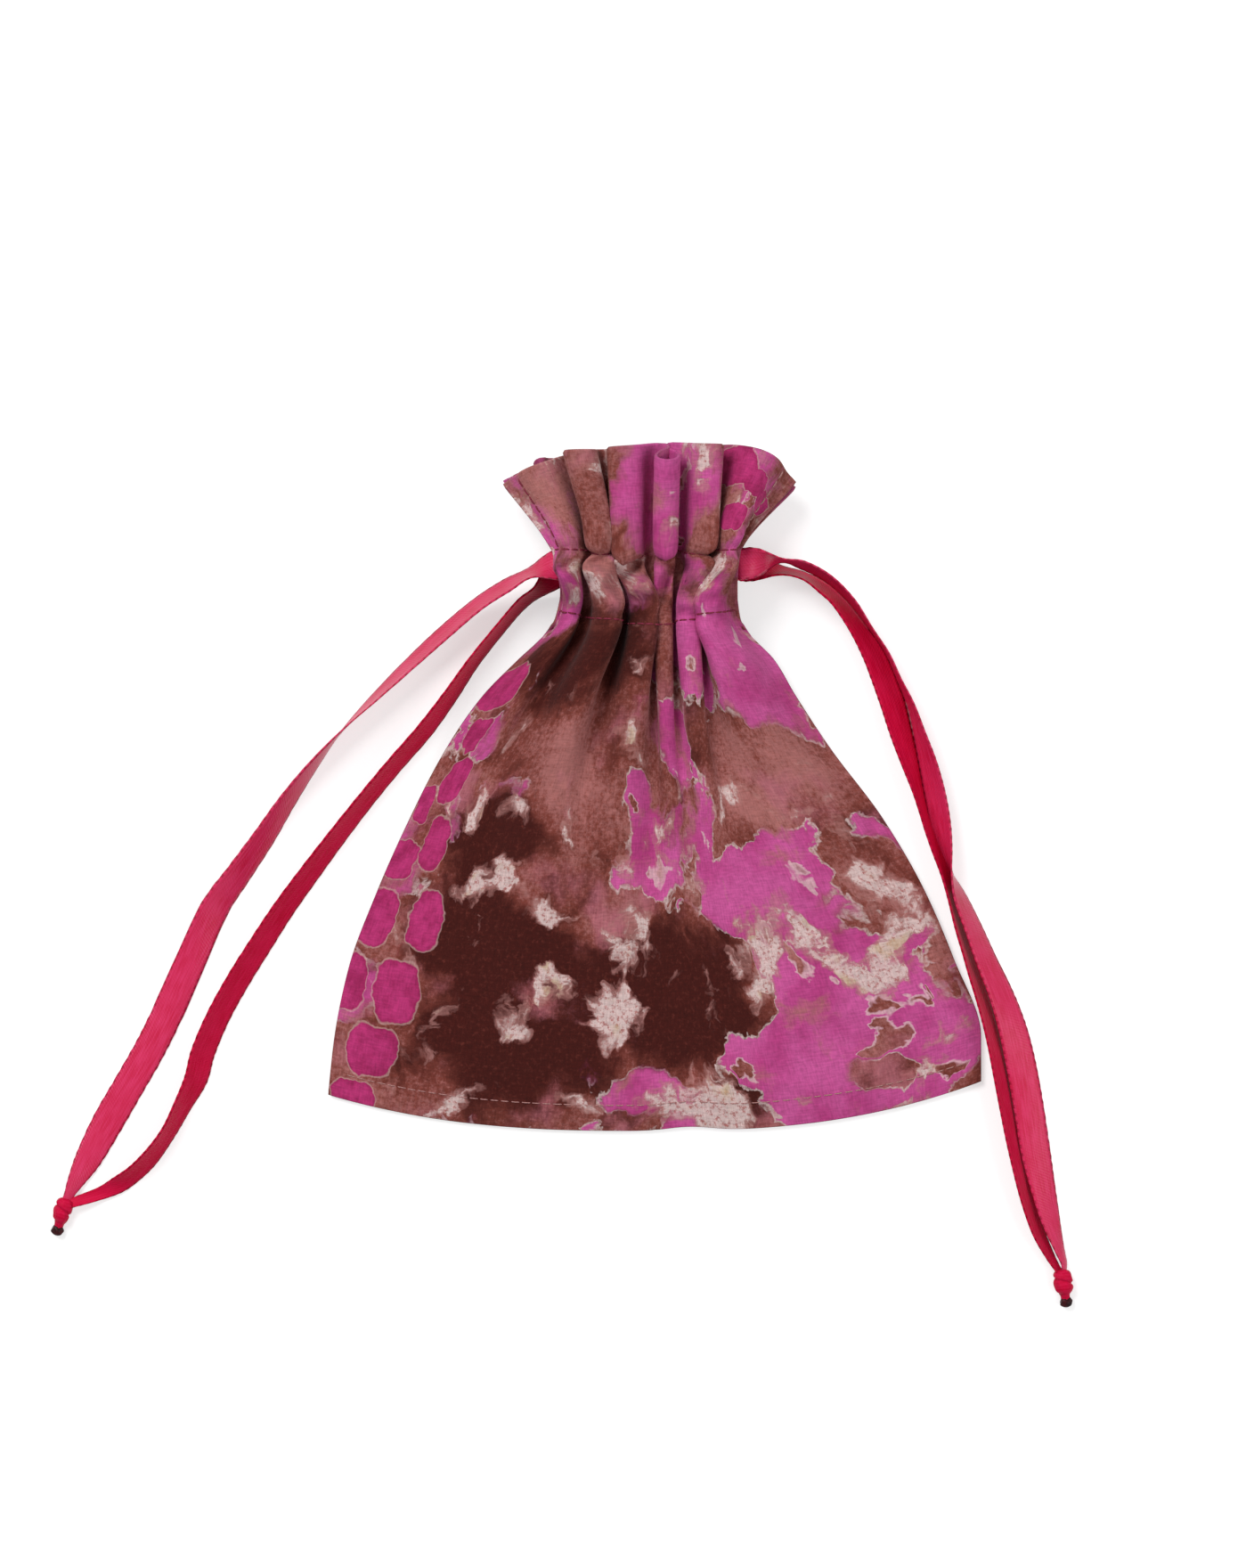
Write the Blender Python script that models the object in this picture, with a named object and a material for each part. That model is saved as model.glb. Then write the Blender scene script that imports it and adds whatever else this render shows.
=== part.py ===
"""A drawstring dice bag, empty and lying on its back: a gathered cotton pouch closed by two satin ribbons.

+X is to the bag's right, +Y towards its mouth and +Z up, off the surface that it lies on.
The origin is on that surface, under the middle of the bag. Lengths are in metres.
"""

import math

import bmesh
import bpy
from mathutils import Vector

MM = 0.001

# The pouch
BAG_WIDTH = 146 * MM
SIDE_HEIGHT = 106.2 * MM        # from a bottom corner to the neck
BOTTOM_SAG = 9.2 * MM           # how far the bottom edge bows below its corners
SIDE_LEAN = 3.8 * MM            # how far both side edges are drawn over to the left, at the most
NECK_WIDTH = 39 * MM
FRILL_WIDTH = 64 * MM
FRILL_HEIGHT = 22.8 * MM        # at the middle, above the upper casing stitch
FRILL_CORNER_DROP = 7.6 * MM    # how much lower the frill's corners are

# Cloth and thread
CLOTH = 0.6 * MM
THREAD = 0.4 * MM
STITCH_INSET = 0.8 * MM         # casing stitches, from the casing's edges
HEM = 3.5 * MM                  # slit stitches, from the slit's edge
TOPSTITCH_INSET = 5.6 * MM
SEAM_ALLOWANCE = 7 * MM
NARROW_ALLOWANCE = 0.2          # the most of the half width that a side's allowance takes up
SEAM_SHORT = 4 * MM             # how far the seams' allowances and threads stop short of the neck and corners

# Gathers: even pleats on the back and six folds on the front. Each fold has its left end, the place of its
# ridge between its two ends and its share of the depth
PLEATS = 8
STEPS_PER_PLEAT = 4
PLEAT_DEPTH = 2.2 * MM
PLEAT_REACH = 58 * MM           # how far below the neck the pleats fade out
FRONT_FOLDS = ((-1, 0.6, 0.7), (-0.7, 0.6, 1), (-0.33, 0.6, 0.85),
               (0, 0.5, 0.75), (0.16, 0.4, 0.85), (0.38, 0.4, 1))
STEPS_PER_FOLD = 5
FOLD_DEPTH = 4.4 * MM
FOLD_POWER = 1.1                # how round a fold is: less gives a wider ridge and a narrower valley
FOLD_REACH = 85 * MM            # how far below the neck the folds fade out
VALLEY_DROP = 4.2 * MM            # how far the valleys sink below the neck's level on their way to it
VALLEY_REACH = 40 * MM          # how far below the neck they start to sink
VALLEY_POWER = 30               # how close to the neck they come up again
SEAM_RISE = 42 * MM             # how far below the neck the side seams come up off the surface
FLAT_SHARE = 0.8                # the part of the back's width that lies flat
CROWN_POWER = 4                 # how squarely the front falls to the side seams
MOUTH_GAP = 6 * MM              # between the front and back facings
FRILL_FALL = 1.4 * MM           # how much the lips close towards each other at their tops
DOUBLING = 4.6 * MM             # how far above the upper stitch the frill reaches its double thickness

# Mesh steps
PANEL_ROWS = 14
ROW_POWER = 1.5                 # more sets the panels' rows closer together towards the neck
SEAM_ROWS = 13
BOTTOM_STEPS = 21
FRILL_STEPS = 5
KNOT_SIDES = 10

# Ribbons
RIBBON_WIDTH = 7 * MM
RIBBON = 0.4 * MM
KNOT_WIDTH = 4.2 * MM
KNOT_HEIGHT = 3.8 * MM
KNOT_LENGTH = 5.2 * MM
TAIL_LENGTH = 2.6 * MM
TIP_WIDTH = 2.6 * MM
LOOP_STEPS = 9                  # points along a run of the loop, and round its bend
STRAND_STEPS = 3                # steps between two points of a strand's route

# Clearances
GAP = 0.3 * MM                  # between pieces that touch on the real bag
SLIT_ROOM = 0.3 * MM            # from a ribbon's bend to the end of the casing

# Levels in the neck, counted from its middle plane
FACING_IN = MOUTH_GAP / 2
LOOP_LEVEL = {"left": FACING_IN + CLOTH + GAP + RIBBON / 2}
LOOP_LEVEL["right"] = LOOP_LEVEL["left"] + RIBBON + GAP
CASING_IN = LOOP_LEVEL["right"] + RIBBON / 2 + GAP
CASING_OUT = CASING_IN + CLOTH
NECK_MIDDLE = CASING_OUT + PLEAT_DEPTH + GAP + THREAD + GAP / 3

# Heights along the bag, with its middle at the origin
CASING_HEIGHT = 2 * RIBBON_WIDTH + 2 * GAP
BAG_HEIGHT = BOTTOM_SAG + SIDE_HEIGHT + GAP + CASING_HEIGHT + FRILL_HEIGHT
BOTTOM_CORNER_Y = BOTTOM_SAG - BAG_HEIGHT / 2
NECK_Y = BOTTOM_CORNER_Y + SIDE_HEIGHT
CASING_LOW = NECK_Y + GAP
BEND_Y = CASING_LOW + RIBBON_WIDTH / 2
EXIT_Y = BEND_Y + RIBBON_WIDTH + GAP
CASING_HIGH = CASING_LOW + CASING_HEIGHT
SLIT_X = NECK_WIDTH / 2
SHARP_ANGLE = math.radians(50)
SEAM_HALF = 1.5 * CLOTH + GAP    # half a seam: a panel, and half the allowance between the two panels


def colour(red, green, blue):
    """A screen colour from 0 to 255 as the linear values that materials take."""
    return tuple((value / 255) ** 2.2 for value in (red, green, blue)) + (1.0,)


BATIK_BROWN = colour(138, 84, 82)
BATIK_MAGENTA = colour(172, 62, 128)
BURGUNDY = colour(125, 26, 58)
PALE_THREAD = colour(196, 160, 150)
CRIMSON = colour(178, 26, 66)
DEEP_CRIMSON = colour(139, 13, 30)
SEALED = colour(48, 14, 20)
CLOTH_ROUGHNESS = 0.9
THREAD_ROUGHNESS = 0.8
RIBBON_ROUGHNESS = 0.5
SEALED_ROUGHNESS = 0.35


def make_body(name, spot, carrier=None):
    """An empty that carries the pieces which move together."""
    body = bpy.data.objects.new(name, None)
    body.location = spot
    bpy.context.collection.objects.link(body)
    if carrier:
        body.parent = carrier
        body.matrix_parent_inverse = carrier_inverse(carrier)
    return body


def carrier_inverse(carrier):
    bpy.context.view_layer.update()
    return carrier.matrix_world.inverted()


def finish(name, mesh, carrier, base, roughness):
    """Make an object of its own from a bmesh, with its own material, on the body that carries it."""
    bmesh.ops.recalc_face_normals(mesh, faces=mesh.faces)
    middle = sum((vert.co for vert in mesh.verts), Vector()) / len(mesh.verts)
    bmesh.ops.translate(mesh, verts=mesh.verts, vec=-middle)
    data = bpy.data.meshes.new(name)
    mesh.to_mesh(data)
    mesh.free()
    data.shade_smooth()
    data.set_sharp_from_angle(angle=SHARP_ANGLE)
    material = bpy.data.materials.new(name)
    material.use_nodes = True
    shader = material.node_tree.nodes["Principled BSDF"]
    shader.inputs["Base Color"].default_value = base
    shader.inputs["Roughness"].default_value = roughness
    data.materials.append(material)
    piece = bpy.data.objects.new(name, data)
    piece.location = middle
    piece.parent = carrier
    piece.matrix_parent_inverse = carrier_inverse(carrier)
    bpy.context.collection.objects.link(piece)


def sheet(name, across, along, place, carrier, base, roughness=CLOTH_ROUGHNESS):
    """A closed sheet. place(u, v) gives x, y and the heights of its under and upper faces."""
    mesh = bmesh.new()
    under = []
    upper = []
    for v in along:
        spots = [place(u, v) for u in across]
        under.append([mesh.verts.new((x, y, low)) for x, y, low, high in spots])
        upper.append([mesh.verts.new((x, y, high)) for x, y, low, high in spots])
    for side in (under, upper):
        for row, following in zip(side, side[1:]):
            for i in range(len(row) - 1):
                mesh.faces.new((row[i], row[i + 1], following[i + 1], following[i]))
    rims = [(under[0], upper[0]), (under[-1], upper[-1])]
    for i in (0, -1):
        rims.append(([row[i] for row in under], [row[i] for row in upper]))
    for low, high in rims:
        for i in range(len(low) - 1):
            mesh.faces.new((low[i], low[i + 1], high[i + 1], high[i]))
    finish(name, mesh, carrier, base, roughness)


def loft(name, rings, carrier, base, roughness=RIBBON_ROUGHNESS):
    """A closed solid through rings of points, with a flat face at each end.

    The faces of a ring's second half start one corner on, so that both faces of a twisted strip bend along
    the same diagonal and stay apart.
    """
    mesh = bmesh.new()
    loops = [[mesh.verts.new(point) for point in ring] for ring in rings]
    for loop, following in zip(loops, loops[1:]):
        for i in range(len(loop)):
            after = (i + 1) % len(loop)
            corners = [loop[i], loop[after], following[after], following[i]]
            if 2 * i >= len(loop):
                corners = corners[1:] + corners[:1]
            mesh.faces.new(corners)
    mesh.faces.new(loops[0])
    mesh.faces.new(loops[-1])
    finish(name, mesh, carrier, base, roughness)


def band_ring(middle, width, thickness):
    """The four corners of a flat strip's section, from its half width and half thickness vectors."""
    return [middle - width - thickness, middle + width - thickness,
            middle + width + thickness, middle - width + thickness]


def thread(name, points, carrier, base):
    """A thin square thread through points that run mostly along X or mostly along Y."""
    rings = []
    for i, point in enumerate(points):
        before = points[max(i - 1, 0)]
        after = points[min(i + 1, len(points) - 1)]
        level = Vector((after.x - before.x, after.y - before.y, 0)).normalized()
        side = Vector((-level.y, level.x, 0)) * THREAD / 2
        rings.append(band_ring(point, side, Vector((0, 0, THREAD / 2))))
    loft(name, rings, carrier, base, THREAD_ROUGHNESS)


def spread(first, last, count):
    """Evenly spaced values, both ends included."""
    return [first + (last - first) * i / (count - 1) for i in range(count)]


def ease(value):
    """A smooth step from 0 to 1."""
    held = min(max(value, 0.0), 1.0)
    return held * held * (3 - 2 * held)


# The pouch's shape: u runs from -1 to 1 across it and v from 0 at the bottom to 1 at the neck

def half_width(v):
    return SLIT_X + (BAG_WIDTH / 2 - SLIT_X) * math.sin(math.pi / 2 * (1 - v))


def pleat(u):
    """1 on a ridge of the back's pleats and 0 in a valley. The middle of the bag is a valley."""
    return (1 - math.cos(math.pi * PLEATS * u)) / 2


def fold_bounds():
    """Each front fold's left and right end, the place of its ridge and its share of the depth."""
    ends = [left for left, ridge, share in FRONT_FOLDS[1:]] + [1]
    return [(left, right, ridge, share) for (left, ridge, share), right in zip(FRONT_FOLDS, ends)]


def fold(u):
    """The front's folds: their shares of the depth on their ridges and 0 in a valley."""
    for left, right, ridge, share in fold_bounds():
        if left <= u <= right:
            place = (u - left) / (right - left)
            quarters = place / ridge if place < ridge else 1 + (place - ridge) / (1 - ridge)
            return share * max(0.0, math.sin(math.pi / 2 * quarters)) ** FOLD_POWER
    return 0.0


def fold_columns():
    """Places across the front, with one in each valley."""
    places = [-1]
    for left, right, ridge, share in fold_bounds():
        places += spread(left, right, STEPS_PER_FOLD + 1)[1:]
    return places


def pleat_columns():
    return spread(-1, 1, PLEATS * STEPS_PER_PLEAT + 1)


def seam_level(v):
    """Height of the side seam: low on the surface, rising to the neck's middle plane."""
    rise = max(0.0, 1 - (1 - v) * SIDE_HEIGHT / SEAM_RISE)
    return SEAM_HALF + (NECK_MIDDLE - SEAM_HALF) * rise * rise


def gathered(v, reach):
    """How far the gathers have grown: nothing in the lower bag and 1 at the neck."""
    return ease(1 - (1 - v) * SIDE_HEIGHT / reach)


def panel_xy(u, v):
    lean = SIDE_LEAN * math.sin(math.pi * v * v)
    x = u * half_width(v) - lean * u * u
    y = BOTTOM_CORNER_Y + SIDE_HEIGHT * v - BOTTOM_SAG * (1 - u * u) * (1 - v) ** 2
    return x, y


def front_top(u, v):
    edge = seam_level(v) + SEAM_HALF
    crown = 2 * SEAM_HALF + (NECK_MIDDLE + CASING_OUT - 2 * SEAM_HALF) * v
    ridge = FOLD_DEPTH * gathered(v, FOLD_REACH) * fold(u)
    valley = VALLEY_DROP * gathered(v, VALLEY_REACH) * (1 - v ** VALLEY_POWER) * (1 - fold(u))
    return edge + (crown - edge + ridge - valley) * (1 - u ** CROWN_POWER)


def front_place(u, v):
    x, y = panel_xy(u, v)
    top = front_top(u, v)
    return x, y, top - CLOTH, top


def back_place(u, v):
    x, y = panel_xy(u, v)
    lift = max(0.0, (abs(u) - FLAT_SHARE) / (1 - FLAT_SHARE)) ** 2
    hollow = PLEAT_DEPTH * gathered(v, PLEAT_REACH) * (1 - pleat(u))
    bottom = lift * (seam_level(v) - SEAM_HALF) + hollow * (1 - lift)
    return x, y, bottom, bottom + CLOTH


# The heading's shape: v runs from 0 at the neck over 1 at the upper stitch to 2 at the frill's top edge

def heading_xy(u, v):
    if v <= 1:
        return u * SLIT_X, CASING_LOW + CASING_HEIGHT * v
    rise = v - 1
    x = u * (SLIT_X + (FRILL_WIDTH / 2 - SLIT_X) * rise)
    y = CASING_HIGH + rise * (FRILL_HEIGHT - FRILL_CORNER_DROP * u * u)
    return x, y


def heading_levels(u, v, facing):
    """Inner and outer face of the heading, counted from the neck's middle plane."""
    fall = FRILL_FALL * max(0.0, v - 1)
    doubled = CLOTH * ease((v - 1) * FRILL_HEIGHT / DOUBLING)
    raised = FOLD_DEPTH * fold(u) if facing > 0 else PLEAT_DEPTH * pleat(u)
    outer = CASING_OUT - fall + raised
    return outer - CLOTH - doubled, outer


def heading_place(u, v, facing):
    x, y = heading_xy(u, v)
    inner, outer = heading_levels(u, v, facing)
    low, high = sorted((NECK_MIDDLE + facing * inner, NECK_MIDDLE + facing * outer))
    return x, y, low, high


def on_heading(u, v, facing):
    """A point for the middle of a thread that lies on the heading's outer face."""
    x, y = heading_xy(u, v)
    inner, outer = heading_levels(u, v, facing)
    return Vector((x, y, NECK_MIDDLE + facing * (outer + GAP + THREAD / 2)))


def make_panels(bag):
    along = [1 - (1 - t) ** ROW_POWER for t in spread(0, 1, PANEL_ROWS)]
    sheet("front_panel", fold_columns(), along, front_place, bag, BATIK_BROWN)
    sheet("back_panel", pleat_columns(), along, back_place, bag, BATIK_BROWN)


def make_seams(bag):
    inset = THREAD + 2 * GAP
    top = 1 - SEAM_SHORT / SIDE_HEIGHT
    foot = (inset + SEAM_ALLOWANCE + GAP) / SIDE_HEIGHT
    for side, sign in (("left", -1), ("right", 1)):
        def strip(share, v):
            x, y = panel_xy(sign, v)
            wide = min(SEAM_ALLOWANCE, half_width(v) * NARROW_ALLOWANCE)
            level = seam_level(v)
            return x - sign * (inset + share * wide), y, level - CLOTH / 2, level + CLOTH / 2

        sheet(side + "_seam_allowance", (0, 1), spread(foot, top, SEAM_ROWS), strip, bag, BATIK_MAGENTA)
        line = []
        for v in spread(1 - top, top, SEAM_ROWS):
            x, y = panel_xy(sign, v)
            line.append(Vector((x - sign * (THREAD / 2 + GAP), y, seam_level(v))))
        thread(side + "_seam_thread", line, bag, BURGUNDY)

    def bottom_strip(u, share):
        x, y = panel_xy(u, 0)
        return x, y + inset + share * SEAM_ALLOWANCE, SEAM_HALF - CLOTH / 2, SEAM_HALF + CLOTH / 2

    end = 1 - SEAM_SHORT / (BAG_WIDTH / 2)
    sheet("bottom_seam_allowance", spread(-end, end, BOTTOM_STEPS), (0, 1), bottom_strip, bag, BATIK_MAGENTA)
    line = []
    stitches = []
    stitch_v = TOPSTITCH_INSET / SIDE_HEIGHT
    for u in spread(-end, end, BOTTOM_STEPS):
        x, y = panel_xy(u, 0)
        line.append(Vector((x, y + THREAD / 2 + GAP, SEAM_HALF)))
        x, y = panel_xy(u, stitch_v)
        stitches.append(Vector((x, y, front_top(u, stitch_v) + GAP + THREAD / 2)))
    thread("bottom_seam_thread", line, bag, BURGUNDY)
    thread("bottom_topstitch", stitches, bag, PALE_THREAD)


def make_heading(face, facing, side, sign, mouth):
    """One quarter of the gathered heading: its cloth, its facing and its three rows of stitches."""
    part = face + "_" + side
    along = [0, 0.5] + spread(1, 2, FRILL_STEPS + 1)
    cut = GAP / 2 / SLIT_X
    places = fold_columns() if facing > 0 else pleat_columns()
    across = [sign * cut] + sorted((u for u in places if u * sign > cut), key=abs)
    bend_reach = max(LOOP_LEVEL.values()) + RIBBON / 2 + SLIT_ROOM
    facing_end = (SLIT_X - bend_reach - 2 * GAP) / SLIT_X

    def cloth(u, v):
        return heading_place(u, v, facing)

    def lining(u, v):
        x, y = heading_xy(u, v)
        levels = (NECK_MIDDLE + facing * FACING_IN, NECK_MIDDLE + facing * (FACING_IN + CLOTH))
        return x, y, min(levels), max(levels)

    sheet(part + "_heading", across, along, cloth, mouth, BATIK_MAGENTA)
    ends = (GAP / CASING_HEIGHT, 1 - GAP / CASING_HEIGHT)
    sheet(part + "_facing", (sign * cut, sign * facing_end), ends, lining, mouth, BATIK_MAGENTA)
    lower = [on_heading(u, STITCH_INSET / CASING_HEIGHT, facing) for u in across]
    upper = [on_heading(u, 1 - STITCH_INSET / CASING_HEIGHT, facing) for u in across]
    hem = [on_heading(sign * (1 - HEM / SLIT_X), v, facing) for v in along if v >= 1]
    thread(part + "_lower_stitch", lower, mouth, BURGUNDY)
    thread(part + "_upper_stitch", upper, mouth, BURGUNDY)
    thread(part + "_slit_stitch", hem, mouth, BURGUNDY)


# Ribbons. A route's point is x and y in millimetres, the roll of the ribbon in degrees, its height over the
# surface in millimetres and the share of its width that is not bunched. The first point is at the slit.

ROUTES = {
    "left_front_strand": [
        (-27.0, 48.2, 66, 8.0, 1), (-33.0, 45.2, 63, 5.4, 1), (-39.4, 41.2, 63, 3.0, 1),
        (-46.5, 35.4, 62, 1.0, 1), (-53.4, 29.2, 65, 0, 1), (-61.8, 21.2, 73, 0, 1),
        (-69.8, 13.2, 87, 0, 1), (-76.4, 5.2, 104, 0, 1), (-82.2, -2.8, 118, 0, 1),
        (-87.4, -10.8, 129, 0, 1), (-93.0, -18.8, 138, 0, 1), (-98.6, -26.8, 150, 0, 1),
        (-104.2, -38.8, 170, 0, 1), (-109.6, -50.8, 180, 0, 1), (-113.6, -58.8, 180, 0, 1),
        (-118.2, -66.8, 180, 0, 1), (-122.8, -74.8, 180, 0, 1), (-127.0, -82.8, 172, 0.2, 0.85),
        (-129.8, -88.0, 160, 0.6, 0.55), (-131.2, -90.9, 150, 0.9, 0.35),
    ],
    "left_back_strand": [
        (-25.6, 44.8, -66, 0.8, 1), (-29.8, 41.6, -72, 0.3, 1), (-34.2, 36.6, -73, 0, 1),
        (-40.6, 28.6, -71, 0, 1), (-45.8, 21.0, -66, 0, 1), (-51.6, 13.2, -62, 0, 1),
        (-58.4, 5.4, -62, 0, 1), (-65.0, -2.6, -61, 0, 1), (-71.4, -10.8, -58, 0, 1),
        (-77.4, -18.8, -54, 0, 1), (-83.2, -26.8, -51, 0, 1), (-88.4, -34.8, -48, 0, 1),
        (-93.4, -42.8, -47, 0, 1), (-97.8, -50.8, -47, 0, 1), (-101.2, -58.8, -46, 0, 1),
        (-102.8, -64.8, -48, 0, 1), (-105.8, -70.8, -60, 0, 1), (-109.0, -76.8, -65, 0, 1),
        (-113.4, -82.8, -60, 0, 1), (-118.0, -87.0, -48, 0, 0.8), (-123.4, -90.2, -8, 0.4, 0.45),
        (-129.6, -92.4, 30, 0.9, 0.35),
    ],
    "right_front_strand": [
        (27.4, 51.0, 82, 7.0, 1), (33.0, 50.0, 78, 5.0, 1), (38.9, 47.0, 79, 3.2, 1),
        (44.4, 42.0, 82, 1.6, 1), (48.9, 36.1, 88, 0.6, 1), (52.8, 30.4, 88, 0.2, 1),
        (55.4, 24.6, 86, 0, 1), (57.9, 19.0, 80, 0, 1), (59.9, 12.5, 71, 0, 1),
        (61.8, 6.0, 60, 0, 1), (63.2, 0.0, 53, 0, 1), (64.1, -4.8, 51, 0, 1),
        (64.8, -9.2, 54, 0, 1), (65.8, -13.6, 68, 0, 1), (67.3, -18.4, 92, 0, 1),
        (69.2, -24.0, 116, 0, 1), (71.9, -31.0, 126, 0, 1), (74.6, -38.4, 134, 0, 1),
        (77.2, -44.8, 142, 0, 1), (79.4, -50.8, 152, 0, 1), (81.1, -56.8, 162, 0, 1),
        (82.6, -63.8, 168, 0, 1), (84.0, -71.8, 168, 0, 1), (85.4, -80.8, 164, 0, 1),
        (87.0, -88.8, 156, 0, 0.9), (88.9, -96.8, 144, 0, 0.75), (90.8, -103.0, 130, 0.3, 0.5),
        (91.9, -106.6, 120, 0.8, 0.35),
    ],
    "right_back_strand": [
        (27.2, 49.0, -65, 1.0, 1), (33.0, 47.7, -73, 0.6, 1), (37.8, 44.8, -64, 0.3, 1),
        (41.1, 41.8, -62, 0.1, 1), (45.3, 36.1, -55, 0, 1), (48.9, 30.4, -41, 0, 1),
        (51.3, 24.6, -37, 0, 1), (53.3, 19.0, -36, 0, 1), (55.1, 12.5, -43, 0, 1),
        (57.0, 6.0, -54, 0, 1), (58.7, 0.0, -66, 0, 1), (60.0, -4.8, -75, 0, 1),
        (61.3, -9.2, -82, 0, 1), (63.0, -13.8, -84, 0, 1), (64.9, -18.8, -80, 0, 1),
        (66.6, -24.4, -75, 0, 1), (68.2, -30.4, -70, 0, 1), (69.9, -36.2, -66, 0, 1),
        (71.5, -41.4, -64, 0, 1), (73.1, -46.4, -63, 0, 1), (74.7, -52.0, -62, 0, 1),
        (76.1, -58.0, -61, 0, 1), (77.3, -64.0, -60, 0, 1), (78.6, -70.8, -60, 0, 1),
        (80.0, -77.8, -60, 0, 1), (81.6, -84.8, -60, 0, 1), (83.4, -91.8, -58, 0, 0.9),
        (85.7, -98.8, -56, 0, 0.75), (88.3, -104.2, -54, 0.3, 0.5), (89.9, -107.0, -54, 0.8, 0.35),
    ],
}
KNOT_TOPS = {"left": (Vector((-131.9, -91.7, 0)), Vector((-0.27, -0.96, 0))),
             "right": (Vector((91.1, -107.6, 0)), Vector((0.16, -0.99, 0)))}


def smooth(points, per_span):
    """Points on a smooth curve through the given ones, which are tuples of any length."""
    found = []
    for i in range(len(points) - 1):
        a = points[max(i - 1, 0)]
        b = points[i]
        c = points[i + 1]
        d = points[min(i + 2, len(points) - 1)]
        for step in range(per_span):
            t = step / per_span
            found.append(tuple(
                q + 0.5 * t * (r - p + t * (2 * p - 5 * q + 4 * r - s + t * (3 * (q - r) + s - p)))
                for p, q, r, s in zip(a, b, c, d)))
    found.append(points[-1])
    return found


def make_strand(name, side, sign, facing, drawstring):
    level = NECK_MIDDLE + facing * LOOP_LEVEL[side]
    start = ((SLIT_X + GAP) / MM * sign, EXIT_Y / MM, 0, (level - RIBBON / 2) / MM, 1)
    route = smooth([start] + ROUTES[name], STRAND_STEPS)
    rings = []
    for i, (x, y, roll, lift, share) in enumerate(route):
        before = route[max(i - 1, 0)]
        after = route[min(i + 1, len(route) - 1)]
        forward = Vector((after[0] - before[0], after[1] - before[1], 0)).normalized()
        if i == 0:
            forward = Vector((sign, 0, 0))
        side_way = Vector((0, 0, 1)).cross(forward)
        turn = math.radians(roll)
        width = (side_way * math.cos(turn) + Vector((0, 0, math.sin(turn)))) * RIBBON_WIDTH / 2 * share
        thickness = (Vector((0, 0, math.cos(turn))) - side_way * math.sin(turn)) * RIBBON / 2
        height = max(lift, 0) * MM + abs(width.z) + abs(thickness.z)
        rings.append(band_ring(Vector((x * MM, y * MM, height)), width, thickness))
    loft(name, rings, drawstring, CRIMSON if facing > 0 else DEEP_CRIMSON)


def make_loop(side, sign, drawstring):
    """The ribbon's run round the casing: along the front, round the far slit and along the back."""
    level = LOOP_LEVEL[side]
    bend_x = SLIT_X - level - RIBBON / 2 - SLIT_ROOM
    run = []
    for t in spread(0, 1, LOOP_STEPS):
        slant = EXIT_Y + (BEND_Y - EXIT_Y) * ease(t)
        run.append((SLIT_X - (SLIT_X + bend_x) * t, slant, level, math.pi / 2))
    bend = []
    for angle in spread(math.pi / 2, -math.pi / 2, LOOP_STEPS)[1:-1]:
        bend.append((-bend_x - level * math.cos(angle), BEND_Y, level * math.sin(angle), angle))
    back = [(x, y, -z, -angle) for x, y, z, angle in reversed(run)]
    rings = []
    for x, y, z, angle in run + bend + back:
        out = Vector((-math.cos(angle) * sign, 0, math.sin(angle))) * RIBBON / 2
        middle = Vector((x * sign, y, NECK_MIDDLE + z))
        rings.append(band_ring(middle, Vector((0, RIBBON_WIDTH / 2, 0)), out))
    loft(side + "_ribbon_loop", rings, drawstring, DEEP_CRIMSON)


def round_ring(middle, side_way, wide, high):
    ring = []
    for i in range(KNOT_SIDES):
        angle = 2 * math.pi * i / KNOT_SIDES
        over = Vector((0, 0, high / 2 * math.sin(angle)))
        ring.append(middle + side_way * wide / 2 * math.cos(angle) + over)
    return ring


def make_knot(side, drawstring):
    top, forward = KNOT_TOPS[side]
    forward = forward.normalized()
    side_way = Vector((0, 0, 1)).cross(forward)
    resting = KNOT_HEIGHT / 2

    def ring(distance, wide, high):
        middle = top * MM + forward * distance
        middle.z = resting
        return round_ring(middle, side_way, wide, high)

    lobes = ((0, 0.5), (0.12, 0.8), (0.28, 1), (0.44, 0.9), (0.52, 0.84), (0.6, 0.9), (0.76, 1),
             (0.9, 0.78), (1, 0.45))
    knot = [ring(s * KNOT_LENGTH, KNOT_WIDTH * r, KNOT_HEIGHT * r) for s, r in lobes]
    loft(side + "_knot", knot, drawstring, DEEP_CRIMSON)
    begin = KNOT_LENGTH + GAP
    tail = ((0, 0.7, 0.4), (0.35, 0.75, 0.45), (0.5, 0.95, 0.7), (0.7, 1, 0.85), (0.9, 0.85, 0.75),
            (1, 0.5, 0.45))
    end = [ring(begin + s * TAIL_LENGTH, TIP_WIDTH * wide, TIP_WIDTH * high) for s, wide, high in tail]
    loft(side + "_sealed_end", end, drawstring, SEALED, SEALED_ROUGHNESS)


for old in list(bpy.data.objects):
    bpy.data.objects.remove(old, do_unlink=True)
bag_body = make_body("bag", (0, 0, 0))
make_panels(bag_body)
make_seams(bag_body)
for hand, way in (("left", -1), ("right", 1)):
    mouth_body = make_body("mouth_" + hand, (way * SLIT_X / 2, EXIT_Y, NECK_MIDDLE), bag_body)
    make_heading("front", 1, hand, way, mouth_body)
    make_heading("back", -1, hand, way, mouth_body)
    ribbon_body = make_body(hand + "_drawstring", (way * SLIT_X, EXIT_Y, NECK_MIDDLE), mouth_body)
    make_loop(hand, way, ribbon_body)
    make_strand(hand + "_front_strand", hand, way, 1, ribbon_body)
    make_strand(hand + "_back_strand", hand, way, -1, ribbon_body)
    make_knot(hand, ribbon_body)
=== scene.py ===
"""Looks for the drawstring dice bag: gathered batik cotton, satin ribbons and thread."""

import math

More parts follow.
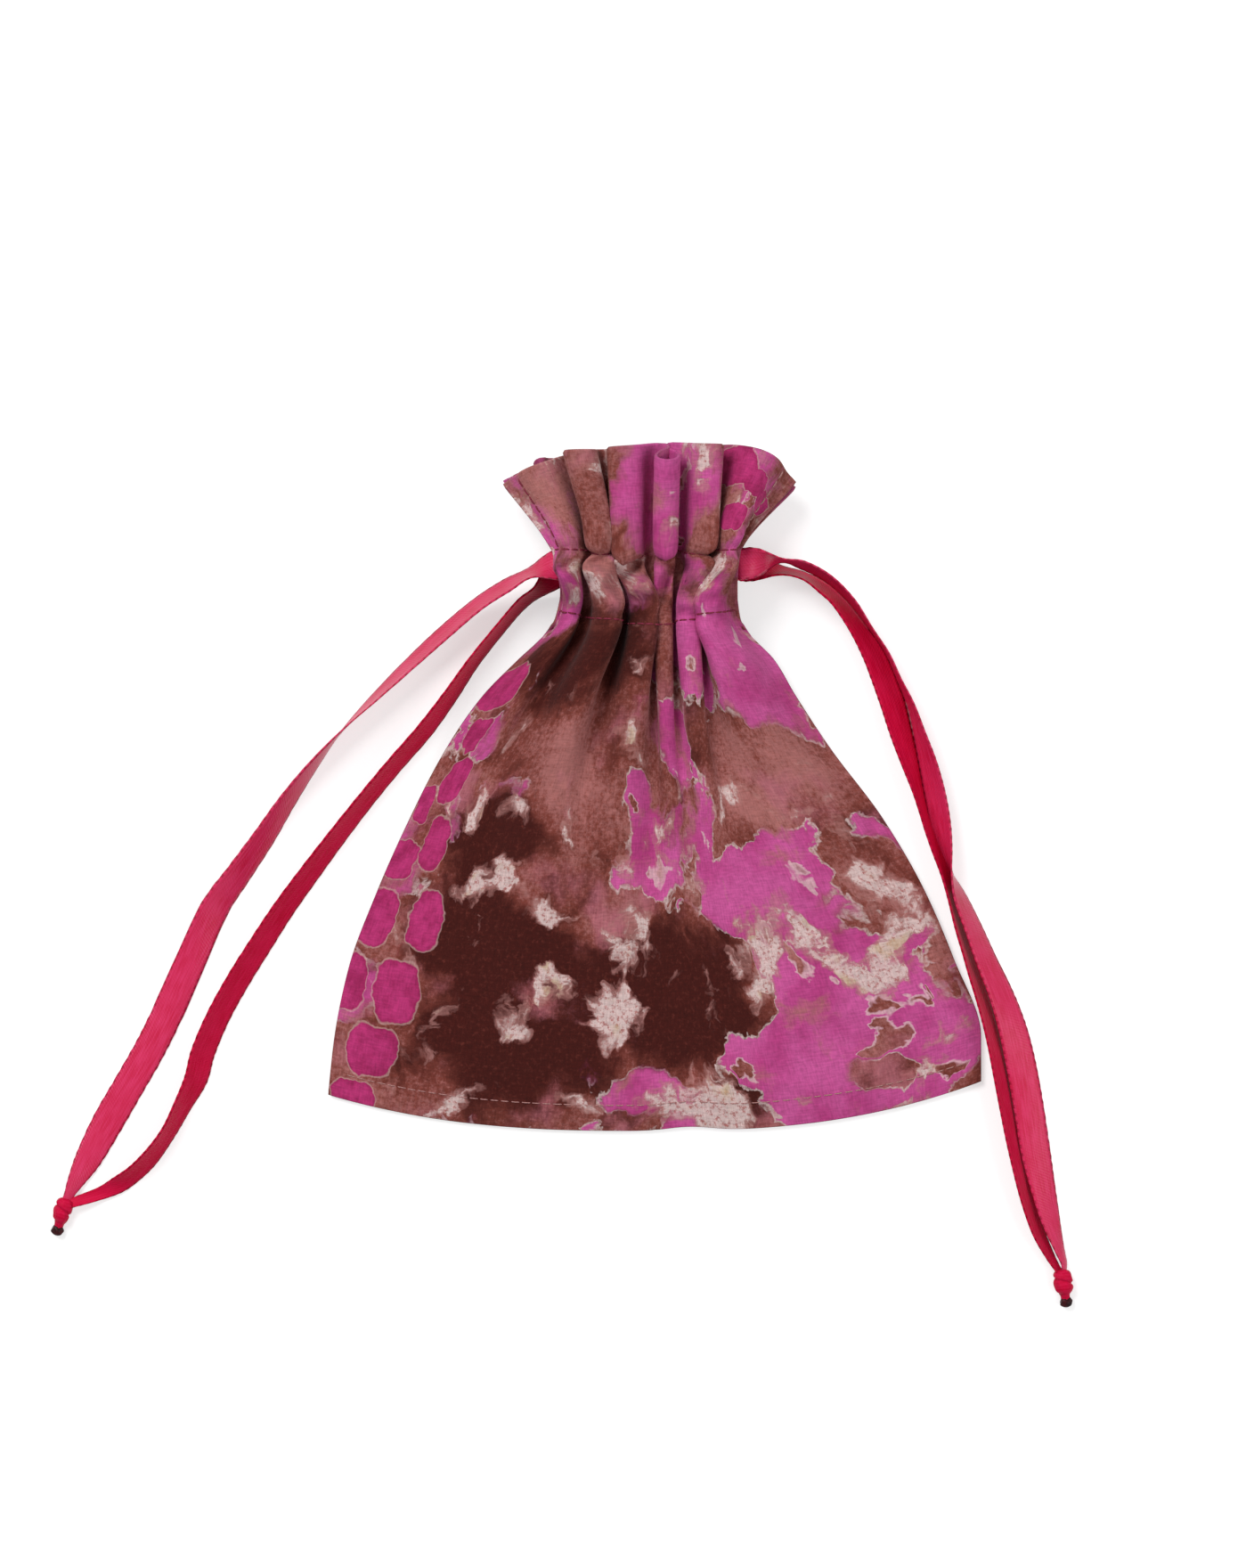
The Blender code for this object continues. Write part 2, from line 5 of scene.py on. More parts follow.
import bpy
import numpy as np
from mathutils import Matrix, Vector


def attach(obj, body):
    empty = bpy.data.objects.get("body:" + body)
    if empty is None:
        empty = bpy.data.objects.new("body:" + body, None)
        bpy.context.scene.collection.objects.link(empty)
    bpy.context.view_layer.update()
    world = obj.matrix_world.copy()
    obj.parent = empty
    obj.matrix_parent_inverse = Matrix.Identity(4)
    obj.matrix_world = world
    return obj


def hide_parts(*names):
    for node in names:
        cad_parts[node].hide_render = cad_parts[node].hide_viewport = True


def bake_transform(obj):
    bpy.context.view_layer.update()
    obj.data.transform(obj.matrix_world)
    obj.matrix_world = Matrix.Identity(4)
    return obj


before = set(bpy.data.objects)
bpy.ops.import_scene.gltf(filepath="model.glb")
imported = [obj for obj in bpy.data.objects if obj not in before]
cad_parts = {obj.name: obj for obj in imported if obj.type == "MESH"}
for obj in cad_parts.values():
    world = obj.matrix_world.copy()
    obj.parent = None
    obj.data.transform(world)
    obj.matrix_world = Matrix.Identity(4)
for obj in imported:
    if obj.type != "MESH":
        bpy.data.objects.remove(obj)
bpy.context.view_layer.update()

MM = 0.001

# Neck levels and lines, in millimetres in the CAD model's frame
NECK_MIDDLE = 8.9
NECK_Y = 39.0
SLIT_X = 19.5
EXIT_Y = 49.95
SPLIT_Y = 34.0  # where the heading's pieces meet the panels' pieces
LOWER_Y = 38.5  # about where the lower casing stitch pinches the folds
UPPER_Y = 53.0  # the upper casing stitch
TOP_Y = 76.0
BOTTOM_Y = -67.0  # level of the bottom corners
HALF_WIDTH = 73.0  # of the bag at its bottom
SEAM_FOOT = 1.2  # height of the bottom and side seams where the bag lies flat
SEAM_RISE = 42.0  # how far below the neck the side seams come up off the surface
SEAM_TOP_Y = 40.0  # where the side seams end
SEAM_REACH = 4.0  # from a seam to where the two cloths part
SLIT_OPENS = (40.0, 45.5)  # levels between which the two cloths part at a slit
FRILL_CLOSES = (54.0, 70.0)  # levels between which they come closer again
INSIDE_Y = 36.0  # above it the cloths keep clear of the ribbons in the casing

# Mesh rows, from the bottom to the frill's top edge
BODY_ROWS = 104
CASING_ROWS = 24
FRILL_ROWS = 26

CLOTH = 0.45
FRILL_CLOTH = 0.9
STITCH_PITCH = 2.34
STITCH_LENGTH = 1.85
THREAD_RADIUS = 0.19
RIBBON_WIDTH = 7.0
RIBBON = 0.28


def colour(red, green, blue):
    """A screen colour from 0 to 255 as the linear values that materials take."""
    return tuple((value / 255) ** 2.2 for value in (red, green, blue)) + (1.0,)


# Materials. A node goes into the tree of the first socket among its values

def fill(made, values):
    """Link a node's inputs to sockets, or set them to plain values."""
    for key, value in values.items():
        if isinstance(value, bpy.types.NodeSocket):
            made.id_data.links.new(value, made.inputs[key])
        else:
            made.inputs[key].default_value = value


def node(tree, kind, values=None, **settings):
    made = tree.nodes.new(kind)
    for key, value in settings.items():
        setattr(made, key, value)
    fill(made, values or {})
    return made


def owner(values):
    return next(value.id_data for value in values if isinstance(value, bpy.types.NodeSocket))


def maths(operation, *values, clamp=False):
    inputs = dict(enumerate(values))
    return node(owner(values), "ShaderNodeMath", inputs, operation=operation, use_clamp=clamp).outputs[0]


def times(first, second):
    return maths("MULTIPLY", first, second)


def scaled(value, by, more):
    return maths("MULTIPLY_ADD", value, by, more)


def blend(share, first, second, way="MIX"):
    values = {0: share, 6: first, 7: second}
    made = node(owner(values.values()), "ShaderNodeMix", values, data_type="RGBA", blend_type=way)
    return made.outputs[2]


def step(value, low, high, top=1.0):
    """A smooth step of value from 0 at low to top at high."""
    values = {0: value, 1: low, 2: high, 3: 0.0, 4: top}
    return node(value.id_data, "ShaderNodeMapRange", values, interpolation_type="SMOOTHSTEP").outputs[0]


def noise(spot, scale, detail=3.0, rough=0.55, part=0):
    values = {"Vector": spot, "Scale": scale, "Detail": detail, "Roughness": rough}
    return node(spot.id_data, "ShaderNodeTexNoise", values).outputs[part]


def vectors(operation, *values, part=0):
    inputs = dict(enumerate(values))
    return node(values[0].id_data, "ShaderNodeVectorMath", inputs, operation=operation).outputs[part]


def moved(spot, by):
    return vectors("ADD", spot, by)


def stretched(spot, by):
    return vectors("MULTIPLY", spot, by)


def patches(spot, u, v, *settings):
    """Noise of another part of the cloth, so that two kinds of patches don't lie alike."""
    return noise(moved(spot, (u, v, 0.0)), *settings)


def warped(spot, scale, reach):
    """The same place pushed about by noise, so that what is drawn there gets ragged edges."""
    push = moved(noise(spot, scale, part="Color"), (-0.5, -0.5, -0.5))
    return moved(spot, stretched(push, (reach, reach, 0.0)))


def oval(spot, u, v, wide, high, squared=False):
    """0 in the middle of an oval and 1 on its edge, or of an oval with squarer corners."""
    place = stretched(moved(spot, (-u, -v, 0.0)), (1 / wide, 1 / high, 0.0))
    far = vectors("LENGTH", place, part="Value")
    if not squared:
        return far
    corner = vectors("LENGTH", stretched(place, place), part="Value")
    return times(maths("ADD", far, corner), 0.5)


def blobs(spot, places):
    """A sum of soft ovals: middle u and v, reach along u and v, and height."""
    total = 0.0
    for u, v, wide, high, amount in places:
        total = maths("ADD", step(oval(spot, u, v, wide, high), 1.0, 0.2, amount), total)
    return total


def bump(height, strength, distance):
    values = {"Strength": strength, "Distance": distance, "Height": height}
    return node(height.id_data, "ShaderNodeBump", values).outputs[0]


def new_material(name):
    made = bpy.data.materials.new(name)
    made.use_nodes = True
    return made, made.node_tree.nodes["Principled BSDF"]


def object_place(shader):
    return node(shader.id_data, "ShaderNodeTexCoord").outputs["Object"]


def mapped_place(shader, name):
    return node(shader.id_data, "ShaderNodeUVMap", uv_map=name).outputs[0]


def seen_directly(tree):
    """1 for rays from the camera, also off or through something, and 0 for light on its way."""
    rays = node(tree, "ShaderNodeLightPath").outputs
    return maths("MAXIMUM", maths("MAXIMUM", rays["Is Camera Ray"], rays["Is Glossy Ray"]),
                 rays["Is Transmission Ray"])


MAGENTA = colour(189, 82, 142)
DEEP_MAGENTA = colour(168, 57, 116)
PEBBLE = colour(174, 50, 107)
DEEP_PEBBLE = colour(148, 36, 85)
DARK_BROWN = colour(61, 17, 11)
BROWN = colour(114, 56, 48)
MAUVE = colour(160, 100, 97)
ROSE = colour(178, 104, 120)
CREAM = colour(208, 184, 181)
HALO = colour(166, 114, 110)
STAIN = colour(184, 160, 126)
PEBBLE_RIM = tuple(0.4 * pale + 0.6 * mauve for pale, mauve in zip(CREAM, MAUVE))

# Where the dyes gather on the cloth, in centimetres
MAGENTA_PLACES = (
    (4.6, -4.9, 4.2, 2.6, 1.2), (4.0, -1.9, 3.0, 1.2, 1.0), (6.2, 2.9, 2.6, 2.0, 1.1),
    (2.2, 3.1, 1.1, 1.7, 1.0), (1.4, 1.1, 1.1, 1.2, 0.8), (0.1, -1.4, 1.6, 0.6, 0.75),
    (-0.5, 0.1, 0.55, 0.8, 0.8), (-0.3, -5.9, 1.3, 0.5, 0.85), (0.9, 6.8, 2.4, 1.8, 1.2),
    (-6.2, 4.2, 1.4, 1.0, 1.2), (5.3, -5.9, 1.6, 0.7, -1.4), (0.6, -4.0, 3.4, 1.7, -1.8),
    (3.2, -4.3, 1.5, 0.8, -0.9), (5.0, 0.5, 2.8, 1.6, -1.2), (-3.6, -3.4, 3.6, 4.0, -1.2),
    (-3.4, 2.4, 3.0, 3.2, -1.1), (-3.3, 6.4, 1.5, 1.7, -0.8), (2.9, 5.7, 1.3, 0.9, -0.9),
    (-1.7, 0.7, 1.1, 1.2, -0.8), (6.6, -2.0, 1.0, 1.4, -0.9))
DARK_PLACES = (
    (-4.5, -0.7, 1.9, 1.1, 1.0), (-5.0, -2.6, 1.9, 1.8, 1.0), (-3.2, -3.1, 1.7, 1.3, 1.0),
    (0.3, -3.9, 3.6, 2.2, 1.2), (-4.1, -5.0, 2.0, 1.8, 1.0), (-2.2, -5.4, 1.6, 1.4, 0.8),
    (-4.3, 2.9, 3.2, 1.6, 0.75), (2.0, -6.2, 1.2, 0.7, 0.9), (-1.2, 3.0, 1.5, 1.9, 0.5),
    (5.0, 0.5, 3.0, 1.7, -0.4), (-2.6, 0.7, 2.0, 1.5, -0.5), (-3.0, 4.9, 3.4, 1.0, -0.7),
    (-6.2, 6.6, 2.0, 1.8, -0.6))
CREAM_PLACES = (
    (-4.2, -1.6, 1.3, 0.8, 0.32), (-2.8, -2.1, 1.2, 0.5, 0.3), (-0.6, -2.6, 1.6, 1.1, 0.3),
    (-2.6, -3.8, 0.7, 0.9, 0.34), (-1.0, -4.6, 1.1, 1.1, 0.32), (3.4, -2.9, 2.0, 1.2, 0.34),
    (5.3, -3.6, 1.3, 0.8, 0.32), (6.5, -2.5, 1.1, 1.8, 0.34), (1.1, -6.2, 1.7, 1.0, 0.32),
    (-3.6, -4.9, 0.6, 1.4, 0.26), (0.3, -0.5, 1.0, 1.4, 0.22), (3.0, 7.0, 1.1, 1.0, 0.24),
    (-3.6, 4.7, 1.3, 0.9, 0.28), (-6.6, 7.0, 1.2, 1.0, 0.22), (4.4, 5.0, 1.2, 0.6, 0.2))
# Pebbles down one side and on the frill: middle u and v, reach along u and v
PEBBLES = (
    (-6.7, 2.3, 0.75, 0.5), (-6.5, 1.25, 0.42, 0.38), (-6.4, 0.3, 0.4, 0.46), (-7.1, -0.2, 0.3, 0.4),
    (-6.25, -1.0, 0.38, 0.62), (-7.0, -1.45, 0.42, 0.46), (-7.0, -2.75, 0.46, 0.66),
    (-5.85, -2.6, 0.46, 0.64), (-7.2, -4.2, 0.36, 0.62), (-6.15, -4.2, 0.54, 0.68),
    (-6.5, -5.55, 0.54, 0.6), (-6.8, -6.6, 0.5, 0.36), (4.6, 7.15, 1.0, 0.42), (5.8, 6.9, 0.5, 0.3),
    (5.4, 6.05, 0.5, 0.26), (6.6, 6.6, 0.6, 0.3))


def make_batik():
    """Wax-resist cotton: dyes with ragged pale edges, pebbles with a pale outline, speckle and weave."""
    made, shader = new_material("batik_cotton")
    spot = stretched(mapped_place(shader, "Cloth"), (100.0, 100.0, 0.0))
    loose = warped(spot, 0.5, 1.2)
    ragged = warped(loose, 2.4, 0.6)
    frayed = warped(ragged, 8.0, 0.2)
    fine = noise(spot, 9.0, 5.0, 0.75)
    grain = scaled(fine, 1.0, -0.5)

    drift = scaled(noise(ragged, 0.6, 4.0), 3.4, -1.85)
    pink = maths("ADD", drift, blobs(loose, MAGENTA_PLACES))
    wet = step(patches(spot, 51.0, 9.0, 0.4), 0.42, 0.62)
    level = node(loose.id_data, "ShaderNodeSeparateXYZ", {0: loose}).outputs[1]
    wet = maths("MAXIMUM", wet, step(level, 1.8, 3.2))
    edge = scaled(wet, 0.4, 0.06)
    tone_drift = scaled(patches(ragged, 31.0, 17.0, 0.7, 6.0, 0.62), 2.6, -1.27)
    tone = maths("ADD", tone_drift, blobs(loose, DARK_PLACES))
    mottled = scaled(grain, 2.6, tone)

    brown = blend(step(mottled, -0.65, 0.35), MAUVE, BROWN)
    rose = step(patches(loose, 7.0, 43.0, 0.5), 0.52, 0.7)
    brown = blend(times(rose, 0.6), brown, ROSE)
    deep = blend(times(step(fine, 0.5, 0.72), 0.4), DARK_BROWN, BROWN)
    brown = blend(step(scaled(grain, 0.7, tone), 0.04, 0.68), brown, deep)
    shade = step(patches(spot, 11.0, 5.0, 0.8, 4.0), 0.35, 0.7)
    magenta = blend(shade, MAGENTA, DEEP_MAGENTA)
    tint = step(patches(ragged, 83.0, 21.0, 0.7, 5.0, 0.6), 0.54, 0.68)
    magenta = blend(times(tint, 0.75), magenta, MAUVE)
    dye = blend(step(maths("DIVIDE", pink, edge), -0.5, 0.7), brown, magenta)

    rim = maths("ABSOLUTE", maths("ADD", pink, 0.03))
    rim = maths("SUBTRACT", 1.0, step(rim, 0.015, 0.07))
    rim = times(rim, step(fine, 0.3, 0.6))
    rim = times(rim, scaled(wet, -0.7, 0.75))
    dye = blend(rim, dye, CREAM)

    marks = patches(ragged, 19.0, 61.0, 0.75, 2.0)
    marks = times(marks, step(pink, 0.0, 0.25))
    dye = blend(times(step(marks, 0.6, 0.615), 0.6), dye, CREAM)
    dye = blend(step(marks, 0.62, 0.645), dye, brown)

    pale_noise = patches(frayed, 3.0, 77.0, 0.8, 4.0, 0.56)
    pale_noise = scaled(pale_noise, 1.9, -0.95)
    pale = maths("ADD", pale_noise, blobs(ragged, CREAM_PLACES))
    plain = maths("SUBTRACT", step(level, -0.2, 1.6), step(level, 3.4, 4.2))
    pale = scaled(plain, -0.07, pale)
    dusty = blend(step(fine, 0.48, 0.63), CREAM, MAUVE)
    yellow = step(patches(loose, 63.0, 2.0, 1.2), 0.55, 0.68)
    dusty = blend(times(yellow, 0.7), dusty, STAIN)
    dye = blend(times(step(pale, 0.15, 0.28), 0.65), dye, HALO)
    dye = blend(times(step(pale, 0.24, 0.35), 0.92), dye, dusty)

    gentle = warped(warped(spot, 1.1, 0.6), 3.5, 0.12)
    nearest = 9.0
    for pebble in PEBBLES:
        nearest = maths("MINIMUM", oval(gentle, *pebble, squared=True), nearest)
    outline = step(nearest, 1.05, 0.99)
    stone = step(nearest, 0.97, 0.9)
    pooled = patches(spot, 29.0, 3.0, 2.2, 5.0, 0.62)
    pooled = scaled(step(nearest, 0.7, 1.0), 0.12, pooled)
    dye = blend(times(outline, 0.6), dye, PEBBLE_RIM)
    dye = blend(stone, dye, blend(step(pooled, 0.38, 0.66), PEBBLE, DEEP_PEBBLE))

    warp = noise(stretched(spot, (24.0, 4.0, 1.0)), 1.0, 3.0)
    weft = noise(stretched(spot, (4.0, 24.0, 1.0)), 1.0, 3.0)
    weave = maths("ADD", warp, weft)
    uneven = scaled(grain, 0.5, weave)
    lightness = scaled(uneven, 0.7, 0.3)
    greys = dict.fromkeys(range(3), lightness)
    grey = node(lightness.id_data, "ShaderNodeCombineColor", greys).outputs[0]
    dye = blend(1.0, dye, grey, "MULTIPLY")
    fill(shader, {"Base Color": dye, "Specular IOR Level": 0.15, "Sheen Weight": 0.05, "Sheen Roughness": 0.6,
                  "Roughness": scaled(weave, -0.12, 0.96), "Normal": bump(weave, 0.35, 0.0003)})
    return made


def make_thread(name, base, worn):
    """Sewing thread: a twisted ply with slightly uneven dye."""
    made, shader = new_material(name)
    spot = object_place(shader)
    values = {"Vector": spot, "Scale": 900.0, "Distortion": 0.5}
    ply = node(spot.id_data, "ShaderNodeTexWave", values, bands_direction="DIAGONAL").outputs[1]
    share = maths("MULTIPLY", noise(spot, 260.0), ply, clamp=True)
    fill(shader, {"Base Color": blend(share, base, worn), "Roughness": 0.7, "Normal": bump(ply, 0.5, 0.0001)})
    return made


PICOT_PITCH = 1.8  # of the loops of thread along a ribbon's edges
TWILL_PITCH = 0.7


def waves(place, pitch):
    return maths("SINE", times(place, 2 * math.pi / (pitch * MM)))


def make_satin(name, base, lit, edge, gloss):
    """Satin ribbon: long floats along it, painted lighter in streaks and soft patches as a painted sheen, a
    fine weft across it and a firmer woven edge.
    """
    made, shader = new_material(name)
    ribbon = mapped_place(shader, "Ribbon")
    apart = node(ribbon.id_data, "ShaderNodeSeparateXYZ", {0: ribbon}).outputs
    floats_and_sheen = noise(stretched(ribbon, (60.0, 900.0, 1.0)), 3.0)
    sheen_patches = noise(stretched(ribbon, (1.0, 0.4, 1.0)), 90.0, 2.0)
    # Painted sheen: the lit colour in streaks along the floats and in soft patches.
    tint = blend(step(floats_and_sheen, 0.3, 0.75), base, lit)
    tint = blend(times(step(sheen_patches, 0.35, 0.75), 0.5), tint, lit)
    across = maths("ABSOLUTE", apart[1])
    picot = times(step(across, 0.00295, 0.0032), step(waves(apart[0], PICOT_PITCH), -0.2, 0.5))
    twill = waves(scaled(apart[1], 0.6, apart[0]), TWILL_PITCH)
    fill(shader, {"Base Color": blend(times(picot, 0.6), tint, edge), "Specular IOR Level": gloss,
                  "Anisotropic": 0.5, "Roughness": 0.34,
                  "Normal": bump(scaled(twill, 0.3, floats_and_sheen), 0.25, 0.0002)})
    return made


def make_sealed(name, base, lit):
    """Ribbon melted to a dark bead."""
    made, shader = new_material(name)
    lumps = noise(object_place(shader), 900.0, 4.0)
    # Painted highlight: the raised lumps take the lighter lit colour.
    fill(shader, {"Base Color": blend(step(lumps, 0.35, 0.75), base, lit), "Specular IOR Level": 0.15,
                  "Roughness": scaled(lumps, 0.3, 0.2), "Normal": bump(lumps, 0.4, 0.0003)})
    return made


batik = make_batik()
burgundy = make_thread("burgundy_thread", colour(118, 20, 50), colour(86, 12, 34))
pale_thread = make_thread("pale_thread", colour(172, 124, 120), colour(136, 90, 90))
# Two copies of one ribbon: the face strands' copy is lighter, and the back strands', loops' and knots' copy
# darker. This is partly the shiny face and matt back of single-face satin, and partly painted light and
# painted shade.
satin = make_satin("lit_satin_face", colour(192, 26, 66), colour(212, 54, 100), colour(130, 10, 38), 0.2)
shaded_satin_back = make_satin("shaded_satin_back", colour(186, 14, 52), colour(206, 32, 74), colour(116, 8, 30), 0.04)
sealed = make_sealed("sealed_ribbon", colour(28, 6, 8), colour(70, 10, 20))


# Mesh helpers

def new_piece(name, points, faces, material, uv_name=None, uvs=None, normals=None):
    """A mesh piece from points in millimetres, with a map and point normals if given."""
    mesh = bpy.data.meshes.new(name)
    mesh.from_pydata((np.asarray(points) * MM).tolist(), [], [tuple(face) for face in faces])
    mesh.shade_smooth()
    mesh.materials.append(material)
    if uvs is not None:
        layer = mesh.uv_layers.new(name=uv_name)
        corners = np.empty(len(mesh.loops), dtype=np.int32)
        mesh.loops.foreach_get("vertex_index", corners)
        layer.data.foreach_set("uv", np.asarray(uvs, dtype=np.float32)[corners].ravel())
    if normals is not None:
        mesh.normals_split_custom_set_from_vertices(np.asarray(normals).tolist())
    piece = bpy.data.objects.new(name, mesh)
    bpy.context.collection.objects.link(piece)
    return piece


def unit(vectors):
    return vectors / np.maximum(np.linalg.norm(vectors, axis=-1, keepdims=True), 1e-9)


def ease(value, low, high):
    held = np.clip((np.asarray(value, dtype=float) - low) / (high - low), 0, 1)
    return held * held * (3 - 2 * held)


def between(value, knots, levels):
    """Smooth curve through levels at knots: a monotone cubic, so it never overshoots."""
    knots = np.asarray(knots, dtype=float)
    levels = np.asarray(levels, dtype=float)
    gaps = np.diff(knots)
    slopes = np.diff(levels) / gaps
    rates = np.zeros_like(levels)
    rates[0] = slopes[0]
    rates[-1] = slopes[-1]
    rising = slopes[:-1] * slopes[1:] > 0
    weight_a = 2 * gaps[1:] + gaps[:-1]
    weight_b = gaps[1:] + 2 * gaps[:-1]
    safe_a = np.where(rising, slopes[:-1], 1)
    safe_b = np.where(rising, slopes[1:], 1)
    rates[1:-1] = np.where(rising, (weight_a + weight_b) / (weight_a / safe_a + weight_b / safe_b), 0)
    place = np.clip(np.searchsorted(knots, value) - 1, 0, len(gaps) - 1)
    t = np.clip((value - knots[place]) / gaps[place], 0, 1)
    h = gaps[place]
    first = levels[place] * (1 + 2 * t) * (1 - t) ** 2 + rates[place] * h * t * (1 - t) ** 2
    second = levels[place + 1] * t * t * (3 - 2 * t) + rates[place + 1] * h * t * t * (t - 1)
    return first + second


def ripples(x, y, wavelength, seed, waves=14):
    """Smooth uneven waves between about -1 and 1, as a sum of cosines in random directions."""
    rng = np.random.default_rng(seed)
    total = np.zeros(np.broadcast(x, y).shape)
    for i in range(waves):
        heading = rng.uniform(0, 2 * math.pi)
        pitch = 2 * math.pi / (wavelength * rng.uniform(0.7, 1.5))
        total += np.cos(pitch * (x * math.cos(heading) + y * math.sin(heading)) + rng.uniform(0, 2 * math.pi))
    return total / math.sqrt(waves / 2) / 2


def grid_index(count_y, count_x):
    """Numbers of a grid's points, and of those round its rim in order."""
    index = np.arange(count_y * count_x).reshape(count_y, count_x)
    return index, np.concatenate([index[0, :], index[1:, -1], index[-1, -2::-1], index[-2:0:-1, 0]])


def grid_quads(index):
    corners = (index[:-1, :-1], index[:-1, 1:], index[1:, 1:], index[1:, :-1])
    return np.stack([corner.ravel() for corner in corners], axis=1)


def slab_faces(count_y, count_x, turn=0):
    """A closed sheet: its top, as many points again under it, and the wall. A turn sets the first corners."""
    index, rim = grid_index(count_y, count_x)
    after = np.roll(rim, -1)
    top = np.roll(grid_quads(index), -turn, axis=1)
    both = np.stack([top, top[:, ::-1] + index.size], axis=1).reshape(-1, 4)
    wall = np.stack([after, rim, rim + index.size, after + index.size], axis=1)
    return np.concatenate([both, np.roll(wall, -turn, axis=1)]).tolist()


def ring_faces(count, sides, flipped=False):
    """A closed tube of rings of points, which run round it the one way or the other."""
    faces = []
    for start in range(0, (count - 1) * sides, sides):
        for k in range(sides):
            a = start + k
            b = start + (k + 1) % sides
            faces.append((a, b, b + sides, a + sides) if flipped else (a, a + sides, b + sides, b))
    ends = (range(sides), range(count * sides - 1, (count - 1) * sides - 1, -1))
    return faces + [tuple(end[::-1] if flipped else end) for end in ends]


def run_along(path):
    """How far each point of a path is from its start, along it."""
    return np.concatenate([[0], np.cumsum(np.linalg.norm(np.diff(path, axis=0), axis=1))])


def stand_for(piece, slot, body, *nodes):
    """Hide the nodes that a piece replaces and, where a body is given, attach the piece to it. The slot is
    not used.
    """
    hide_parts(*nodes)
    if body:
        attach(piece, body)


# The cloth. A row's folds run valley to valley: each is an arch of a sine-generated curve, so a deep one
# bulges over its neighbours as gathered cloth does. Levels are heights along the bag; bounds are the valleys
# between folds and heights how far the folds stand up.

ARCH_ROUNDING = 0.5  # more gives wide round ridges with narrow valleys between them
ARCH_TURNS = np.linspace(0.0, 2.4, 241)
ARCH_PLACES = np.linspace(0.0, 1.0, 1441)
FINE = 4  # steps of the arch's line for each column of the mesh


def arch_phase(place):
    return 2 * math.pi * place + ARCH_ROUNDING * np.sin(2 * math.pi * place)


def arch_shape(turn):
    """Width and height of one arch for each unit of cloth."""
    slope = turn * np.sin(arch_phase(ARCH_PLACES))
    half = len(ARCH_PLACES) // 2
    return np.mean(np.cos(slope)), np.sum(np.sin(slope[:half])) / len(ARCH_PLACES)


ARCH_SHAPES = np.array([arch_shape(turn) for turn in ARCH_TURNS])
ARCH_RATIOS = ARCH_SHAPES[:, 1] / ARCH_SHAPES[:, 0]

LEFT_EDGE = (
    (-67, -73.0), (-55, -71.7), (-39, -68.4), (-23, -62.4), (-7, -55.2), (9, -46.8), (21, -38.4),
    (29, -30.4), (34, -25.0), (38, -22.0), (46, -20.6), (53, -22.4), (76, -33.4))
RIGHT_EDGE = (
    (-67, 73.0), (-57, 73.0), (-39, 66.8), (-23, 60.0), (-7, 50.8), (9, 39.0), (21, 31.2), (29, 26.4),
    (34, 21.6), (38, 18.8), (46, 18.0), (53, 18.8), (76, 31.0))
FOLD_LEVELS = (-67, -30, 0, 21, 38, 46, 53, 76)

FRONT_STEPS = (28, 30, 28, 30, 26, 34)
FRONT_BOUNDS = (
    (-46, -20, 0, 16, 38), (-41, -17, 0, 11, 27), (-35, -15, 0, 7, 16.5), (-25.4, -11.8, 0, 4.6, 11.2),
    (-16.2, -7.8, 0, 3.6, 9.4), (-15.8, -7.2, 0, 3.8, 9.4), (-13.4, -7.4, 0, 4.6, 10.0),
    (-19.0, -10.6, 1.4, 4.0, 13.3))
FRONT_HEIGHTS = (
    (0, 0, 0, 0, 0, 0), (0.5, 0.9, 0.7, 0.4, 0.5, 0.9), (1.3, 3.0, 2.4, 1.6, 2.0, 2.6),
    (3.2, 6.4, 5.4, 4.4, 5.2, 5.6), (5.2, 8.4, 8.0, 6.2, 7.4, 8.2), (6.0, 8.8, 8.6, 5.8, 7.8, 8.8),
    (5.0, 8.6, 8.2, 7.6, 7.4, 7.0), (3.6, 9.2, 7.2, 8.6, 6.8, 5.2))
FRONT_LEANS = ((0.1, 0.3, 0.3, 0.0, 0.2, -0.4), (-0.1, -0.3, -0.5, 0.0, 0.7, 0.3))
FRONT_TOPS = (67.6, 73.8, 75.0, 76.2, 76.4, 75.8, 68.2)
FRONT_BULGES = (0.8, 0.4, 0, 0, 0, 2.8)  # of each ridge's top edge over the line between its valleys
FRONT_TIPS = (0.3, 2.8, 5.8, 4.8, 3.2, 0.6)  # how far each ridge of the frill hangs over the upper stitch

CROWN = (
    (-67, 1.2), (-60, 3.4), (-30, 6.4), (0, 9.6), (21, 10.6), (34, 10.2), (40, 10.1), (53, 10.1), (76, 12.2))
